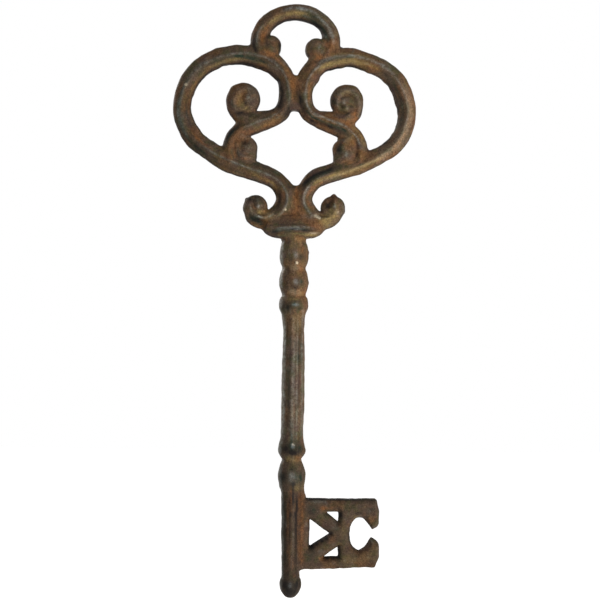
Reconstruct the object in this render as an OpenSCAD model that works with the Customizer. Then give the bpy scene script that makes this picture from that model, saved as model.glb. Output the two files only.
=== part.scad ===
// Decorative cast-iron key: a heart-shaped bow of scrolls under a hanging loop,
// a collar, a turned shank with knops and a pierced bit.
// X runs to the right, Z up, and the front faces -Y. The origin is the spot inside
// the top of the hanging loop where a nail carries the key.

/* [Hanging loop] */
// Width over the outside of the loop
loop_w = 46; // [42:0.5:52]
// Height of the nail's seat above the top of the heart
loop_rise = 14.2; // [12:0.2:18]
// Width of the loop's bar at the top, seen from the front
loop_bar = 8.2; // [7:0.1:9.5]
// Thickness of the loop, front to back
loop_t = 8; // [6:0.1:9.5]
// Diameter of the two curls at the loop's feet
foot_curl_d = 10.2; // [8.5:0.1:12]

/* [Bow] */
// Width over the two lobes of the heart
bow_w = 125; // [112:1:138]
// Height from the top of the heart to the rim of the collar
bow_h = 92.8; // [84:0.2:102]
// Width of the scroll bars, seen from the front
band_w = 9; // [7.6:0.1:10]
// Thickness of the scroll bars, front to back
band_t = 8; // [6:0.1:9.5]
// Diameter of the volutes inside the lobes
volute_d = 17.2; // [14:0.1:19]
// Thickness of those volutes
volute_t = 9.4; // [7:0.1:11]
// Diameter of the lower curls beside the middle opening
lower_curl_d = 12.4; // [10:0.1:14]
// Thickness of the small curls, at the loop's feet and beside the middle opening
curl_t = 8.6; // [7:0.1:10]
// Diameter of the volutes at the neck
neck_volute_d = 12.8; // [11:0.1:14]
// Thickness of the webs that join the two halves, between the lobes and at the neck
web_t = 5.5; // [4:0.1:7]

/* [Collar] */
// Width of the collar over its rim
collar_w = 31.5; // [28:0.5:36]
// Depth of the collar over its rim, front to back
collar_depth = 17; // [14:0.5:22]
// Height of the collar's bowl, from its rim down to its foot
bowl_h = 6.5; // [5:0.1:9]
// Height of the low dome above the rim
dome_h = 5.4; // [4:0.1:7]

/* [Knops above the shank] */
// Diameter of the three upper knops
upper_knop_d = 14.7; // [13:0.1:18]
// Diameter of the waists beside them
upper_waist_d = 11.8; // [10.5:0.1:12.6]
// Height of the first knop, from waist to waist
knop_1_h = 14.5; // [12:0.1:18]
// Height of the second knop
knop_2_h = 13; // [11:0.1:16]
// Height of the third knop
knop_3_h = 11; // [9.5:0.1:14]

/* [Shank] */
// Length of the plain shank
shank_l = 63.5; // [45:0.5:85]
// Diameter of the shank at its belly
shank_d = 11.5; // [10.8:0.1:12.6]
// Diameter of the shank at its slim upper end
shank_slim_d = 10.4; // [9:0.1:10.7]

/* [Knops below the shank] */
// Diameter of the two lower knops
lower_knop_d = 14; // [12.8:0.1:17]
// Diameter of the waist between them
lower_waist_d = 9.8; // [8.5:0.1:11]
// Height of the upper one of the two, a bell with its edge below
knop_4_h = 11; // [9.5:0.1:14]
// Height of the lower one of the two
knop_5_h = 18; // [14:0.1:22]

/* [Bit stem] */
// Length of the stem that carries the bit
stem_l = 41; // [39:0.5:52]
// Diameter of the stem at its top
stem_d = 10; // [9:0.1:11]
// Diameter of the stem at its lower end
stem_low_d = 8.8; // [7.5:0.1:9.8]
// Diameter of the ball at the tip
tip_d = 10.8; // [10:0.1:13]
// Length of the tip below the stem
tip_l = 11.8; // [10:0.1:14]

/* [Bit] */
// Height of the bit
bit_h = 36; // [33:0.5:37]
// Reach of the bit from the axis of the stem
bit_reach = 45.2; // [44:0.2:50]
// Thickness of the bit
bit_t = 5.5; // [4:0.1:7]
// Distance from the top of the stem to the top of the bit
bit_drop = 1.8; // [1.5:0.1:2]
// Width of the bar beside the stem
hub_bar_w = 4.9; // [4:0.1:6]
// Width of the window with the braces
window_w = 15; // [13:0.1:16]
// Height of that window
window_h = 23.6; // [21:0.1:26]
// Width of the two braces across the window
brace_w = 7.8; // [5:0.1:8.6]
// Width of the post between the window and the throat
post_w = 5.2; // [4:0.1:6]
// Width of the oval throat
throat_w = 10.6; // [9:0.1:11]
// Height of the oval throat
throat_h = 17.2; // [14:0.1:20]
// Gap between the two hooks at the mouth of the throat
mouth = 5; // [4:0.1:6]
// Length of the slanted lips outside the hooks' tips
lip_l = 3.2; // [2:0.1:4]
// Slant of each lip, from the hook's tip to the bit's outer edge
lip_slant = 1.8; // [0:0.1:3]
// Widening of each opening from the middle of the bit to a face
draft = 0.9; // [0.4:0.1:1.2]
// Radius of the two outer corners of the bit
corner_r = 3; // [1:0.1:5]
// Rise of the bit's lower edge from the stem to its outer corner
edge_rise = 1; // [0:0.1:2]
// Radius of the fillets between the bit's edges and its stem
root_r = 2.4; // [1:0.1:3]

/* [Hidden] */

iron = "#57463a";
dark_iron = "#4a4740";
rust = "#6b4a30";

// Levels down the key, each from the one above it
heart_top = -loop_rise;
rim_z = heart_top - bow_h;
foot_z = rim_z - bowl_h;
shank_top = foot_z - knop_1_h - knop_2_h - knop_3_h;
shank_end = shank_top - shank_l;
stem_top = shank_end - knop_4_h - knop_5_h;
stem_end = stem_top - stem_l;
bit_z = stem_top - bit_drop - bit_h / 2;

// Corners of a section, and steps from one station of a curve to the next
section_sides = 16;
path_steps = 3;
turned_steps = 4;
head_steps = 2;
// Power of a bar's section, which is 2 for an ellipse and 1 for a lozenge
crest = 1.75;
// How much wider the collar's foot is than the waist of the first knop
foot_ledge = 0.8;

// The scrolls are drawn on a grid. Across, a hundred units run from the centre line to the
// middle of the bar where the bow is widest. Down, a hundred units run from the middle of
// the bar at the top of the heart to the rim of the collar.
bow_across = (bow_w - band_w) / 2 / 100;
bow_down = (bow_h - band_w / 2) / 100;
function bow_place(u, v) = [-u * bow_across, heart_top - band_w / 2 - v * bow_down];

// The S-scroll of the left half, from its foot under the arm, up the arm and the middle of
// the bow, round the lobe and down to the neck. A station is across, down, and the bar's
// width in hundredths of band_w.
s_scroll = [
    [57.5, 61, 86], [57, 53.5, 86], [53, 47, 88], [44, 42.5, 94], [33, 39.5, 95], [22, 36.5, 94],
    [12.8, 33, 92], [8.4, 27.5, 92], [8, 20.5, 92], [11.4, 12, 92], [21.5, 4.5, 95], [35.5, 1, 100],
    [50, 0, 102], [66.5, 2.5, 104], [81.5, 7.5, 102], [93.5, 17, 100], [100, 30, 98], [97, 41, 98],
    [89, 50, 98], [75.5, 56.5, 104], [58, 62, 104], [34.5, 68, 98], [18.5, 72.5, 103], [10, 78.5, 98],
    [8.5, 85, 94], [14, 91.5, 96], [24, 95.8, 100], [34, 94.2, 86], [38.5, 89.5, 66]
];
s_path = [for (s = s_scroll) [each bow_place(s[0], s[1]), s[2] / 100 * band_w, band_t]];
// Stations where the S-scroll passes from one member to the next
arm_end = 7;
lobe_end = 21;
neck_end = len(s_scroll) - 1;

neck_volute_at = bow_place(33, 88.5);
lower_curl_at = bow_place(43.5, 54.2);

// The volute in each lobe springs from the arm on a short neck and swells to its round head
volute_at = bow_place(46, 26);
volute_neck = [
    [each bow_place(43.5, 40), 0.66 * volute_d, band_t],
    [each bow_place(44.5, 35.5), 0.88 * volute_d, band_t],
    [each bow_place(47.8, 31.5), 0.84 * volute_d, band_t]
];

// Half profiles of a round head, as shares of its radius and of half its thickness: a plain
// dome, and one with a groove round a raised eye
dome_head = [[0, 1], [0.35, 0.96], [0.65, 0.8], [0.88, 0.5], [1, 0]];
eyed_head = [[0, 0.96], [0.2, 0.86], [0.36, 0.62], [0.52, 0.8], [0.68, 1], [0.86, 0.76], [1, 0]];

// The hanging loop has a grid of its own, down from the middle of its bar to the heart
loop_across = (loop_w - loop_bar) / 2 / 100;
loop_down = (loop_rise + loop_bar / 2) / 100;
function loop_place(u, v) = [-u * loop_across, loop_bar / 2 - v * loop_down];
loop_half = [[85, 115, 112], [96, 94, 112], [95, 67, 112], [77, 35, 106], [42, 9.5, 102]];
loop_stations = concat(loop_half, [[0, 0, 100]], [for (i = [len(loop_half) - 1:-1:0]) let (s = loop_half[i]) [-s[0], s[1], s[2]]]);
loop_path = [for (s = loop_stations) [each loop_place(s[0], s[1]), s[2] / 100 * loop_bar, loop_t]];
foot_curl_at = loop_place(61, 100);

// Smooth curve through the stations p: t counts the stations
function blend(a, b, c, d, t) =
    b + t / 2 * (c - a + t * (2 * a - 5 * b + 4 * c - d + t * (3 * (b - c) + d - a)));
function station(p, i) =
    i < 0 ? 2 * p[0] - p[1] : i >= len(p) ? 2 * p[len(p) - 1] - p[len(p) - 2] : p[i];
function along(p, t) =
    let (i = max(0, min(floor(t), len(p) - 2)))
    blend(station(p, i - 1), p[i], p[i + 1], station(p, i + 2), t - i);
function heading(p, t) =
    let (d = along(p, t + 0.01) - along(p, t - 0.01), l = norm([d[0], d[1]]))
    [d[0] / l, d[1] / l];

// Half sizes w and t at the angle a of a section: an oval with a soft crest
function oval(a, w, t) =
    [w * sign(cos(a)) * pow(abs(cos(a)), 2 / crest), t * sign(sin(a)) * pow(abs(sin(a)), 2 / crest)];

// One ring of a bar: a centre, the heading there and the section's size. A ring that would
// cross the plane x = 0 is flattened on it where the two halves of the bow meet.
function ring(c, h, w, t, flat) = [
    for (i = [0:section_sides - 1])
        let (o = oval(360 * i / section_sides, w / 2, t / 2), x = c[0] - h[1] * o[0])
        [flat ? min(x, 0) : x, o[1], c[1] + h[0] * o[0]]
];

function bar_rings(p, a, b, flat) = [
    for (k = [0:(b - a) * path_steps])
        let (t = a + k / path_steps, c = along(p, t))
        ring(c, heading(p, t), c[2], c[3], flat)
];

// Closed skin over rings of equal count
module skin(rings) {
    n = len(rings[0]);
    last = len(rings) - 1;
    sides = [
        for (k = [0:last - 1], i = [0:n - 1])
            let (j = (i + 1) % n, a = k * n, b = a + n)
            each [[a + i, b + j, b + i], [a + i, a + j, b + j]]
    ];
    near = [for (i = [n - 1:-1:0]) i];
    far = [for (i = [0:n - 1]) last * n + i];
    polyhedron(points = [for (r = rings) each r], faces = concat(sides, [near, far]));
}

// Scroll bar along the path p from station a to station b
module bar(p, a, b, flat = false) {
    skin(bar_rings(p, a, b, flat));
}

// Round head of a curl at the place c, the same at the front and the back
module head(c, d, t, shape) {
    last = (len(shape) - 1) * head_steps;
    face = [for (k = [0:last]) let (s = along(shape, k / head_steps)) [max(s[0], 0) * d / 2, s[1] * t / 2]];
    translate([c[0], 0, c[1]])
        rotate([90, 0, 0])
        rotate_extrude($fn = 48)
        polygon(concat(face, [for (k = [last - 1:-1:0]) [face[k][0], -face[k][1]]]));
}

module mirrored() {
    children();
    mirror([1, 0, 0]) children();
}

module hanging_loop() {
    color(iron) difference() {
        union() {
            bar(loop_path, 0, len(loop_path) - 1);
            mirrored() head(foot_curl_at, foot_curl_d, curl_t, dome_head);
        }
        mirrored() bar(s_path, arm_end + 2, arm_end + 6, flat = true);
    }
}

module left_heart_scroll() {
    color(iron) bar(s_path, arm_end, lobe_end, flat = true);
}

module right_heart_scroll() {
    mirror([1, 0, 0]) left_heart_scroll();
}

module neck_scroll_body() {
    bar(s_path, lobe_end, neck_end);
    head(neck_volute_at, neck_volute_d, curl_t, eyed_head);
}

module left_neck_scroll() {
    color(iron) difference() {
        union() neck_scroll_body();
        collar_body();
    }
}

module right_neck_scroll() {
    mirror([1, 0, 0]) left_neck_scroll();
}

module left_inner_scroll() {
    color(rust) difference() {
        bar(s_path, 0, arm_end, flat = true);
        bar(s_path, lobe_end - 3, lobe_end);
    }
}

module right_inner_scroll() {
    mirror([1, 0, 0]) left_inner_scroll();
}

module left_inner_volute() {
    color(rust) difference() {
        union() {
            bar(volute_neck, 0, len(volute_neck) - 1);
            head(volute_at, volute_d, volute_t, eyed_head);
        }
        bar(s_path, 1, arm_end - 1, flat = true);
    }
}

module right_inner_volute() {
    mirror([1, 0, 0]) left_inner_volute();
}

module left_lower_curl() {
    color(rust) difference() {
        head(lower_curl_at, lower_curl_d, curl_t, dome_head);
        bar(s_path, 0, arm_end - 1, flat = true);
        bar(s_path, lobe_end - 3, lobe_end);
    }
}

module right_lower_curl() {
    mirror([1, 0, 0]) left_lower_curl();
}

// Web between the two halves, from the middle of one bar to the middle of the other,
// beside the S-scroll's stations a to b
module web_slab(a, b) {
    side = [for (t = [a:0.3:b]) let (c = along(s_path, t)) [c[0], c[1]]];
    rotate([90, 0, 0])
        linear_extrude(web_t, center = true)
        polygon(concat(side, [for (i = [len(side) - 1:-1:0]) [-side[i][0], side[i][1]]]));
}

module lobe_web() {
    color(rust) difference() {
        web_slab(arm_end - 0.8, arm_end + 2.2);
        mirrored() bar(s_path, arm_end - 3, arm_end + 4, flat = true);
    }
}

module neck_web() {
    color(rust) difference() {
        web_slab(lobe_end + 1.6, lobe_end + 4.9);
        mirrored() neck_scroll_body();
        collar_body();
    }
}

// The collar is round at its foot and oval at its rim. A level is its height in shares of
// the dome or the bowl, and its spread in shares of the way from the foot to the rim.
module collar_body() {
    foot_r = (upper_waist_d + foot_ledge) / 2;
    dome = [[1, -0.45], [0.82, 0.05], [0.55, 0.55], [0.25, 0.88], [0.08, 0.98]];
    bowl = [[0.08, 1], [0.25, 0.96], [0.45, 0.84], [0.65, 0.66], [0.82, 0.42], [0.94, 0.14], [1, 0]];
    levels = concat([for (l = dome) [rim_z + l[0] * dome_h, l[1]]], [for (l = bowl) [rim_z - l[0] * bowl_h, l[1]]]);
    skin([
        for (l = levels)
            [for (i = [0:31]) let (a = 360 * i / 32) [
                (foot_r + l[1] * (collar_w / 2 - foot_r)) * cos(a),
                (foot_r + l[1] * (collar_depth / 2 - foot_r)) * sin(a),
                l[0]
            ]]
    ]);
}

module collar() {
    color(iron) collar_body();
}

// Solid turned about the key's axis through the stations p, each a height and a diameter
module turned(p) {
    last = len(p) - 1;
    side = [for (k = [0:last * turned_steps]) let (s = along(p, k / turned_steps)) [s[1] / 2, s[0]]];
    rotate_extrude($fn = 64) polygon(concat([[0, p[0][0]]], side, [[0, p[last][0]]]));
}

// Stations of a round knop below the level z: its height, the share of it above the crest,
// its diameter and that of the waists
function knop(z, h, share, d, waist) = [
    [z - 0.42 * share * h, waist + 0.7 * (d - waist)],
    [z - share * h, d],
    [z - (0.4 + 0.6 * share) * h, waist + 0.84 * (d - waist)]
];

module upper_baluster() {
    waist_1 = foot_z - knop_1_h;
    waist_2 = waist_1 - knop_2_h;
    color(dark_iron) turned([
        [foot_z, upper_waist_d + foot_ledge / 2],
        each knop(foot_z, knop_1_h, 0.52, upper_knop_d, upper_waist_d),
        [waist_1, upper_waist_d],
        each knop(waist_1, knop_2_h, 0.53, upper_knop_d, upper_waist_d),
        [waist_2, upper_waist_d],
        each knop(waist_2, knop_3_h, 0.45, upper_knop_d, upper_waist_d),
        [shank_top, shank_slim_d + 1]
    ]);
}

module shank() {
    color(iron) turned([
        [shank_top, shank_slim_d + 1],
        [shank_top - 0.13 * shank_l, shank_slim_d],
        [shank_top - 0.34 * shank_l, (shank_slim_d + 2 * shank_d) / 3],
        [shank_top - 0.65 * shank_l, shank_d],
        [shank_end + 0.08 * shank_l, shank_d - 0.4],
        [shank_end, shank_d]
    ]);
}

module lower_baluster_body() {
    waist = shank_end - knop_4_h;
    turned([
        [shank_end, shank_d],
        [shank_end - 0.4 * knop_4_h, lower_knop_d - 0.6],
        [shank_end - 0.63 * knop_4_h, lower_knop_d - 0.1],
        [shank_end - 0.84 * knop_4_h, (lower_knop_d + lower_waist_d) / 2 - 0.6],
        [waist, lower_waist_d],
        [waist - 0.2 * knop_5_h, (lower_knop_d + lower_waist_d) / 2 + 0.4],
        [waist - 0.48 * knop_5_h, lower_knop_d],
        [waist - 0.76 * knop_5_h, (lower_knop_d + stem_d) / 2],
        [stem_top, stem_d]
    ]);
}

module lower_baluster() {
    color(dark_iron) lower_baluster_body();
}

module stem_body() {
    turned([[stem_top, stem_d], [(stem_top + stem_end) / 2, (stem_d + stem_low_d) / 2], [stem_end, stem_low_d]]);
}

module bit_stem() {
    color(iron) stem_body();
}

module tip_ball() {
    color(dark_iron) turned([
        [stem_end, stem_low_d],
        [stem_end - 0.2 * tip_l, 0.93 * tip_d],
        [stem_end - 0.42 * tip_l, tip_d],
        [stem_end - 0.66 * tip_l, 0.93 * tip_d],
        [stem_end - 0.86 * tip_l, 0.68 * tip_d],
        [stem_end - 0.97 * tip_l, 0.3 * tip_d],
        [stem_end - tip_l, 0]
    ]);
}

// Corner c of an outline, rounded by about r between the neighbours a and b
function corner(a, c, b, r) =
    let (
        from = c + (a - c) / norm(a - c) * min(r, norm(a - c) / 2.2),
        to = c + (b - c) / norm(b - c) * min(r, norm(b - c) / 2.2)
    )
    [for (s = [0:0.25:1]) (1 - s) * (1 - s) * from + 2 * s * (1 - s) * c + s * s * to];

// Outline p with all its corners rounded
function rounded(p, r) =
    let (n = len(p)) [for (i = [0:n - 1]) each corner(p[(i + n - 1) % n], p[i], p[(i + 1) % n], r)];

// Hollow quarter round of radius r about the middle m, from the angle a to the angle b
function quarter(m, r, a, b) = [for (s = [0:0.25:1]) let (f = a + s * (b - a)) m + r * [cos(f), sin(f)]];

// Opening through the bit, narrowest at its middle and wider by the draft at both faces.
// The outline p lies about the middle m, and r is the distance from m to its sides.
module drafted_opening(p, m, r) {
    through = bit_t / 2 + 0.5;
    grow = 1 + draft * through / (bit_t / 2) / r;
    for (side = [0, 1])
        mirror([0, side, 0])
        translate([m[0], 0, bit_z + m[1]])
        rotate([90, 0, 0])
        linear_extrude(through, scale = grow)
        polygon([for (q = p) q - m]);
}

function inner_middle(t) =
    let (a = norm(t[1] - t[2]), b = norm(t[2] - t[0]), c = norm(t[0] - t[1]))
    (a * t[0] + b * t[1] + c * t[2]) / (a + b + c);
function inner_radius(t) =
    let (a = norm(t[1] - t[2]), b = norm(t[2] - t[0]), c = norm(t[0] - t[1]), s = (a + b + c) / 2)
    sqrt((s - a) * (s - b) * (s - c) / s);

module three_sided_opening(t, r) {
    drafted_opening(rounded(t, r), inner_middle(t), inner_radius(t));
}

module bit() {
    half = bit_h / 2;
    top = window_h / 2;
    x0 = stem_d / 2 + hub_bar_w;
    x1 = x0 + window_w;
    // Each brace runs from an outer corner of the window to the middle of the post
    rise = top / window_w;
    lean = atan(rise);
    inner_share = 0.42;
    below = brace_w * inner_share / cos(lean);
    beside = brace_w * (1 - inner_share) / sin(lean);
    throat_x = x1 + post_w + throat_w / 2;
    tip_x = bit_reach - lip_l;
    throat = [
        [bit_reach + lip_l, mouth / 2 + 2 * lip_slant],
        [tip_x, mouth / 2],
        for (a = [44:17:316]) [throat_x + throat_w / 2 * cos(a), throat_h / 2 * sin(a)],
        [tip_x, -mouth / 2],
        [bit_reach + lip_l, -mouth / 2 - 2 * lip_slant]
    ];
    // The fillets spring from the stem's side, and the lower one ends with the stem
    top_x = sqrt(stem_d * stem_d - bit_t * bit_t) / 2;
    low_x = sqrt(stem_low_d * stem_low_d - bit_t * bit_t) / 2;
    low_r = min(root_r, stem_l - bit_drop - bit_h);
    low_corner = [bit_reach, edge_rise - half];
    top_corner = [bit_reach, half];
    outline = concat(
        [[0, -half - low_r]],
        quarter([low_x + low_r, -half - low_r], low_r, 180, 90),
        corner([low_x, -half], low_corner, top_corner, corner_r),
        corner(low_corner, top_corner, [top_x, half], corner_r),
        quarter([top_x + root_r, half + root_r], root_r, 270, 180),
        [[0, half + root_r]]
    );
    color(iron) difference() {
        translate([0, 0, bit_z]) rotate([90, 0, 0]) linear_extrude(bit_t, center = true) polygon(outline);
        stem_body();
        lower_baluster_body();
        three_sided_opening([[x0, top - below], [x0, below - top], [x0 + (top - below) / rise, 0]], 1);
        for (side = [1, -1])
            three_sided_opening([
                [x0 + beside, side * top], [x1, side * top], [x1, side * (top - (window_w - beside) * rise)]
            ], 0.8);
        drafted_opening(throat, [throat_x, 0], throat_w / 2);
    }
}

hanging_loop();
left_heart_scroll();
right_heart_scroll();
left_neck_scroll();
right_neck_scroll();
left_inner_scroll();
right_inner_scroll();
left_inner_volute();
right_inner_volute();
left_lower_curl();
right_lower_curl();
lobe_web();
neck_web();
collar();
upper_baluster();
shank();
lower_baluster();
bit_stem();
bit();
tip_ball();
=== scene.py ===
"""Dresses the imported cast-iron key: one sculpted iron skin in twenty closed pieces, its rust, a pale
floor, soft light and the camera.

Lengths are millimetres until a mesh is made. The axes are the CAD's: X right, Y away from the
viewer, Z up, with the origin at the nail's seat inside the hanging loop. The skin is a distance
field on a grid, below zero inside the iron. Each member of the casting is merged into it with a
fillet, as in a mould, and the surface is then cut into one closed mesh for each CAD node.
"""
import math

import bpy
import numpy as np
from mathutils import Matrix, Vector


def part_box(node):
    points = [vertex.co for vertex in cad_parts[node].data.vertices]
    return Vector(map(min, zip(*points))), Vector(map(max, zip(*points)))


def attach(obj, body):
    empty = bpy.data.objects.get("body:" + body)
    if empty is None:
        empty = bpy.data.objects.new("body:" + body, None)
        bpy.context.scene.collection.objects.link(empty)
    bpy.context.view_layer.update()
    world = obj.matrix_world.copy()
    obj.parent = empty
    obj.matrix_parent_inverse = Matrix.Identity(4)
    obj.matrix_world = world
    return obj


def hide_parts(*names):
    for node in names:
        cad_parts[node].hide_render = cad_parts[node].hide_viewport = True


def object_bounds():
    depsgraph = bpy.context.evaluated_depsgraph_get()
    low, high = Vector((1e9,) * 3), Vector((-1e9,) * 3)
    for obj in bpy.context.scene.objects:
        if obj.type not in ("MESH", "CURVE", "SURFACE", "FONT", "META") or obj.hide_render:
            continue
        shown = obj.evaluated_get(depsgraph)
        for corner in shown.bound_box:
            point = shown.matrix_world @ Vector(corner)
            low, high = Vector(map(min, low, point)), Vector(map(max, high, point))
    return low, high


MM = 0.001

# Driving sizes of the casting
BAR_W = 9.0
BAR_T = 8.0
BOW_W = 125.0
BOW_H = 92.8
LOOP_W = 46.0
LOOP_RISE = 14.2
LOOP_BAR = 8.2
WEB_T = 5.5
VOLUTE_D = 17.2
VOLUTE_T = 9.4
CURL_T = 8.6
NECK_VOLUTE_D = 12.8
LOWER_CURL_D = 12.4
FOOT_CURL_D = 10.0
COLLAR_W = 31.5
COLLAR_DEPTH = 17.0
DOME_H = 5.4
KNOP_D = 14.7
WAIST_D = 11.8
KNOP_HEIGHTS = (14.5, 13.7, 10.3)
SHANK_D = 11.5
SLIM_D = 10.4
LOW_KNOP_D = 14.0
LOW_WAIST_D = 9.8
BELL_H = 11.0
STEM_D = 10.0
STEM_LOW_D = 8.8
TIP_D = 10.8
BIT_H = 36.0
BIT_REACH = 45.2
BIT_DROP = 1.8
BIT_T = 5.5
HUB_BAR_W = 4.9
WINDOW_W = 15.0
WINDOW_H = 23.6
BRACE_W = 7.8
POST_W = 5.2
THROAT_W = 10.6
THROAT_H = 17.2
MOUTH = 5.0
LIP_L = 3.2
LIP_SLANT = 1.8
EDGE_RISE = 1.0
ROOT_R = 2.4
BIT_CORNER = 1.2
BIT_EDGE_R = 1.8
OPENING_R = 2.0
EDGE_DRAFT = 0.35
OPENING_DRAFT = 1.2

# Grid of the skin, and the section of a bar: two flanks that fall from a crest, with a thin bead on
# it, to an upright edge at the parting line
STEP = 0.5
GRID_LOW = (-66.0, -10.5, -300.5)
GRID_HIGH = (66.0, 10.5, 11.0)
CREST_R = 0.4
EDGE_HALF = 1.5
EDGE_R = 1.3
DRAFT = 0.1
CROWN = 0.3
BEAD = 0.2
NECK_BEAD = 0.4
BEAD_HALF = 0.7
BEAD_REACH = 3.5
FLASH_REACH = 1.6
FLASH_HALF = 0.8
WEB_EDGE_R = 1.5
FAR = 40.0

# Fillets between the members, how far round a member its distances are worked out, and how far the
# whole skin is let out at the end
FILLET = 1.5
BRANCH_FILLET = 2.2
WEB_FILLET = 1.6
CURL_FILLET = 1.2
TURNED_FILLET = 1.2
NECK_VOLUTE_FILLET = 1.0
VOLUTE_FILLET = 0.7
MARGIN = 4
SWELL = 0.16

# Photo: millimetres a pixel, its side in pixels, the pixel of the origin, and the key's lean
PHOTO_MM = 305.0 / 592.0
PHOTO_SIDE = 600
ORIGIN_PIXEL = (295.45, 20.0)
ROLL = 0.0093

NODES = [
    "hanging_loop", "left_heart_scroll", "right_heart_scroll", "left_neck_scroll", "right_neck_scroll",
    "left_inner_scroll", "right_inner_scroll", "left_inner_volute", "right_inner_volute",
    "left_lower_curl", "right_lower_curl", "lobe_web", "neck_web", "collar", "upper_baluster", "shank",
    "lower_baluster", "bit_stem", "bit", "tip_ball",
]
NUMBER = {name: i + 1 for i, name in enumerate(NODES)}

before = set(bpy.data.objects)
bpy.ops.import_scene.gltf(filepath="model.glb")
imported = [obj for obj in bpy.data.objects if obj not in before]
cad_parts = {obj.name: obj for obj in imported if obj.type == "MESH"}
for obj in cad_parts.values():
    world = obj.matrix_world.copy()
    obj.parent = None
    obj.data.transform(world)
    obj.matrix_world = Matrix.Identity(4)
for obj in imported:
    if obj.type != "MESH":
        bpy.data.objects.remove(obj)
cad_low, cad_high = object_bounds()


def level(node, side):
    """Height of a node's lower (0) or upper (1) end, in millimetres."""
    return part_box(node)[side].z / MM


HEART_TOP = -LOOP_RISE
FOOT_Z = level("collar", 0)
RIM_Z = level("collar", 1) - DOME_H
SHANK_TOP = level("shank", 1)
SHANK_END = level("shank", 0)
STEM_TOP = level("bit_stem", 1)
STEM_END = level("bit_stem", 0)
TIP_END = level("tip_ball", 0)
BIT_Z = STEM_TOP - BIT_DROP - BIT_H / 2


def bow_place(across, down):
    """Place on the bow's grid: hundredths of its half width and of its height to the collar's rim."""
    return -across * (BOW_W - BAR_W) / 200, HEART_TOP - BAR_W / 2 - down * (BOW_H - BAR_W / 2) / 100


def loop_place(across, down):
    """Place on the loop's grid: hundredths of its half width and of its height over the heart."""
    return -across * (LOOP_W - LOOP_BAR) / 200, LOOP_BAR / 2 - down * (LOOP_RISE + LOOP_BAR / 2) / 100


# Places along the left S-scroll, from the end of the leg to the neck volute: across, down
S_PATH = [
    (57.5, 61), (57, 53.5), (53, 47), (44, 42.5), (33, 39.5), (22, 36.5), (12.8, 33), (8.4, 27.5),
    (8, 20.5), (11.4, 12), (21.5, 4.5), (35.5, 1), (50, 0), (66.5, 2.5), (81.5, 7.5), (93.5, 17), (100, 30),
    (97, 41), (89, 50), (75.5, 56.5), (58, 62), (34.5, 68), (18.5, 72.5), (10, 78.5), (8.5, 85), (14, 91.5),
    (24, 95.8), (34, 94.2), (38.5, 89.5)]
# At each place, how far the bar reaches to the left of the way along (on the right-hand scroll, to
# its right) and to the other side, and how far its crest lies to the left, in hundredths of BAR_W
REACHES = {
    "left": [
        (43, 43, 0), (43, 43, 5), (44, 43, 8), (50, 50, 10), (43, 50, 11), (41, 51, 6), (41, 50, 0),
        (42, 47, -9), (39, 51, -19), (35, 60, -22), (51, 62, -17), (53, 54, -16), (49, 59, -14),
        (34, 67, -14), (40, 62, -14), (42, 59, -14), (50, 50, -15), (59, 48, -8), (66, 44, 5), (64, 44, 6),
        (57, 59, 13), (61, 48, 14), (58, 42, 14), (61, 46, 19), (50, 46, 17), (49, 48, 5), (50, 50, -15),
        (49, 43, -13), (38, 33, -7)],
    "right": [
        (43, 43, 8), (50, 43, 10), (49, 48, 13), (51, 55, 18), (44, 54, 20), (39, 50, 18), (45, 46, 17),
        (50, 44, 13), (48, 46, 10), (59, 52, 9), (57, 53, 5), (57, 49, 0), (56, 47, -2), (61, 39, -5),
        (62, 41, -3), (54, 48, -6), (57, 49, -2), (44, 55, -4), (40, 59, -6), (39, 56, -9), (50, 60, -8),
        (56, 48, 3), (58, 46, 3), (43, 51, 2), (49, 50, 0), (48, 49, -3), (49, 40, -10), (43, 38, -10),
        (33, 33, -7)],
}
ARM_END = 7
SPLIT = 13
LOBE_END = 21
# The branch that leaves the arm and curls up into the volute, and the loop from its left foot over
# to its right one, in the same terms (the loop's in hundredths of LOOP_BAR, with its outside first)
BRANCH = [
    (22.4, 36.8, 46, 46, 0), (33.6, 37.3, 49, 49, 0), (43.1, 35.2, 60, 50, 8), (49.3, 31.1, 60, 44, 13),
    (52, 26.2, 55, 42, 14), (50.7, 21.9, 47, 38, 8)]
BRANCH_END = 1.7
RIGHT_BRANCH_SWELL = 9
LOOP = [
    (85, 115, 56, 56, 8), (96, 94, 57, 56, 12), (95, 67, 52, 55, 14), (77, 35, 53, 48, 15),
    (42, 9.5, 46, 48, 16), (0, 0, 43, 50, 16), (-42, 9.5, 50, 47, 14), (-77, 35, 53, 42, 8),
    (-95, 67, 57, 50, 4), (-96, 94, 59, 56, 4), (-85, 115, 59, 56, 4)]
# The numbers above and below are read at the parting line. What stands on a face is nearer to the
# eye and seems further from the middle of the picture, so it is put back by this share.
AWAY = 390.0
PICTURE_MIDDLE = (3.7, -144.2)
FACE_SHARE = 4.0 / AWAY
# How far the turned parts bow towards the right: height, shift
BOWED = [
    (-100, 0.2), (-110, 0.3), (-122, 0.5), (-135, 0.35), (-150, 0.4), (-168, 0.7), (-185, 0.5), (-205, 0.4),
    (-220, 0.1), (-235, 0.25), (-246, 0), (-300, 0)]


def blend_through(points, steps):
    """Smooth curve through the rows of points, with the station number as a last column."""
    p = np.asarray(points, float)
    p = np.vstack([2 * p[0] - p[1], p, 2 * p[-1] - p[-2]])
    rows = []
    for i in range(1, len(p) - 2):
        a, b, c, d = p[i - 1:i + 3]
        for k in range(steps):
            t = k / steps
            row = b + t / 2 * (c - a + t * (2 * a - 5 * b + 4 * c - d + t * (3 * (b - c) + d - a)))
            rows.append(np.append(row, i - 1 + t))
    rows.append(np.append(p[-2], len(p) - 3))
    return np.array(rows)


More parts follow.
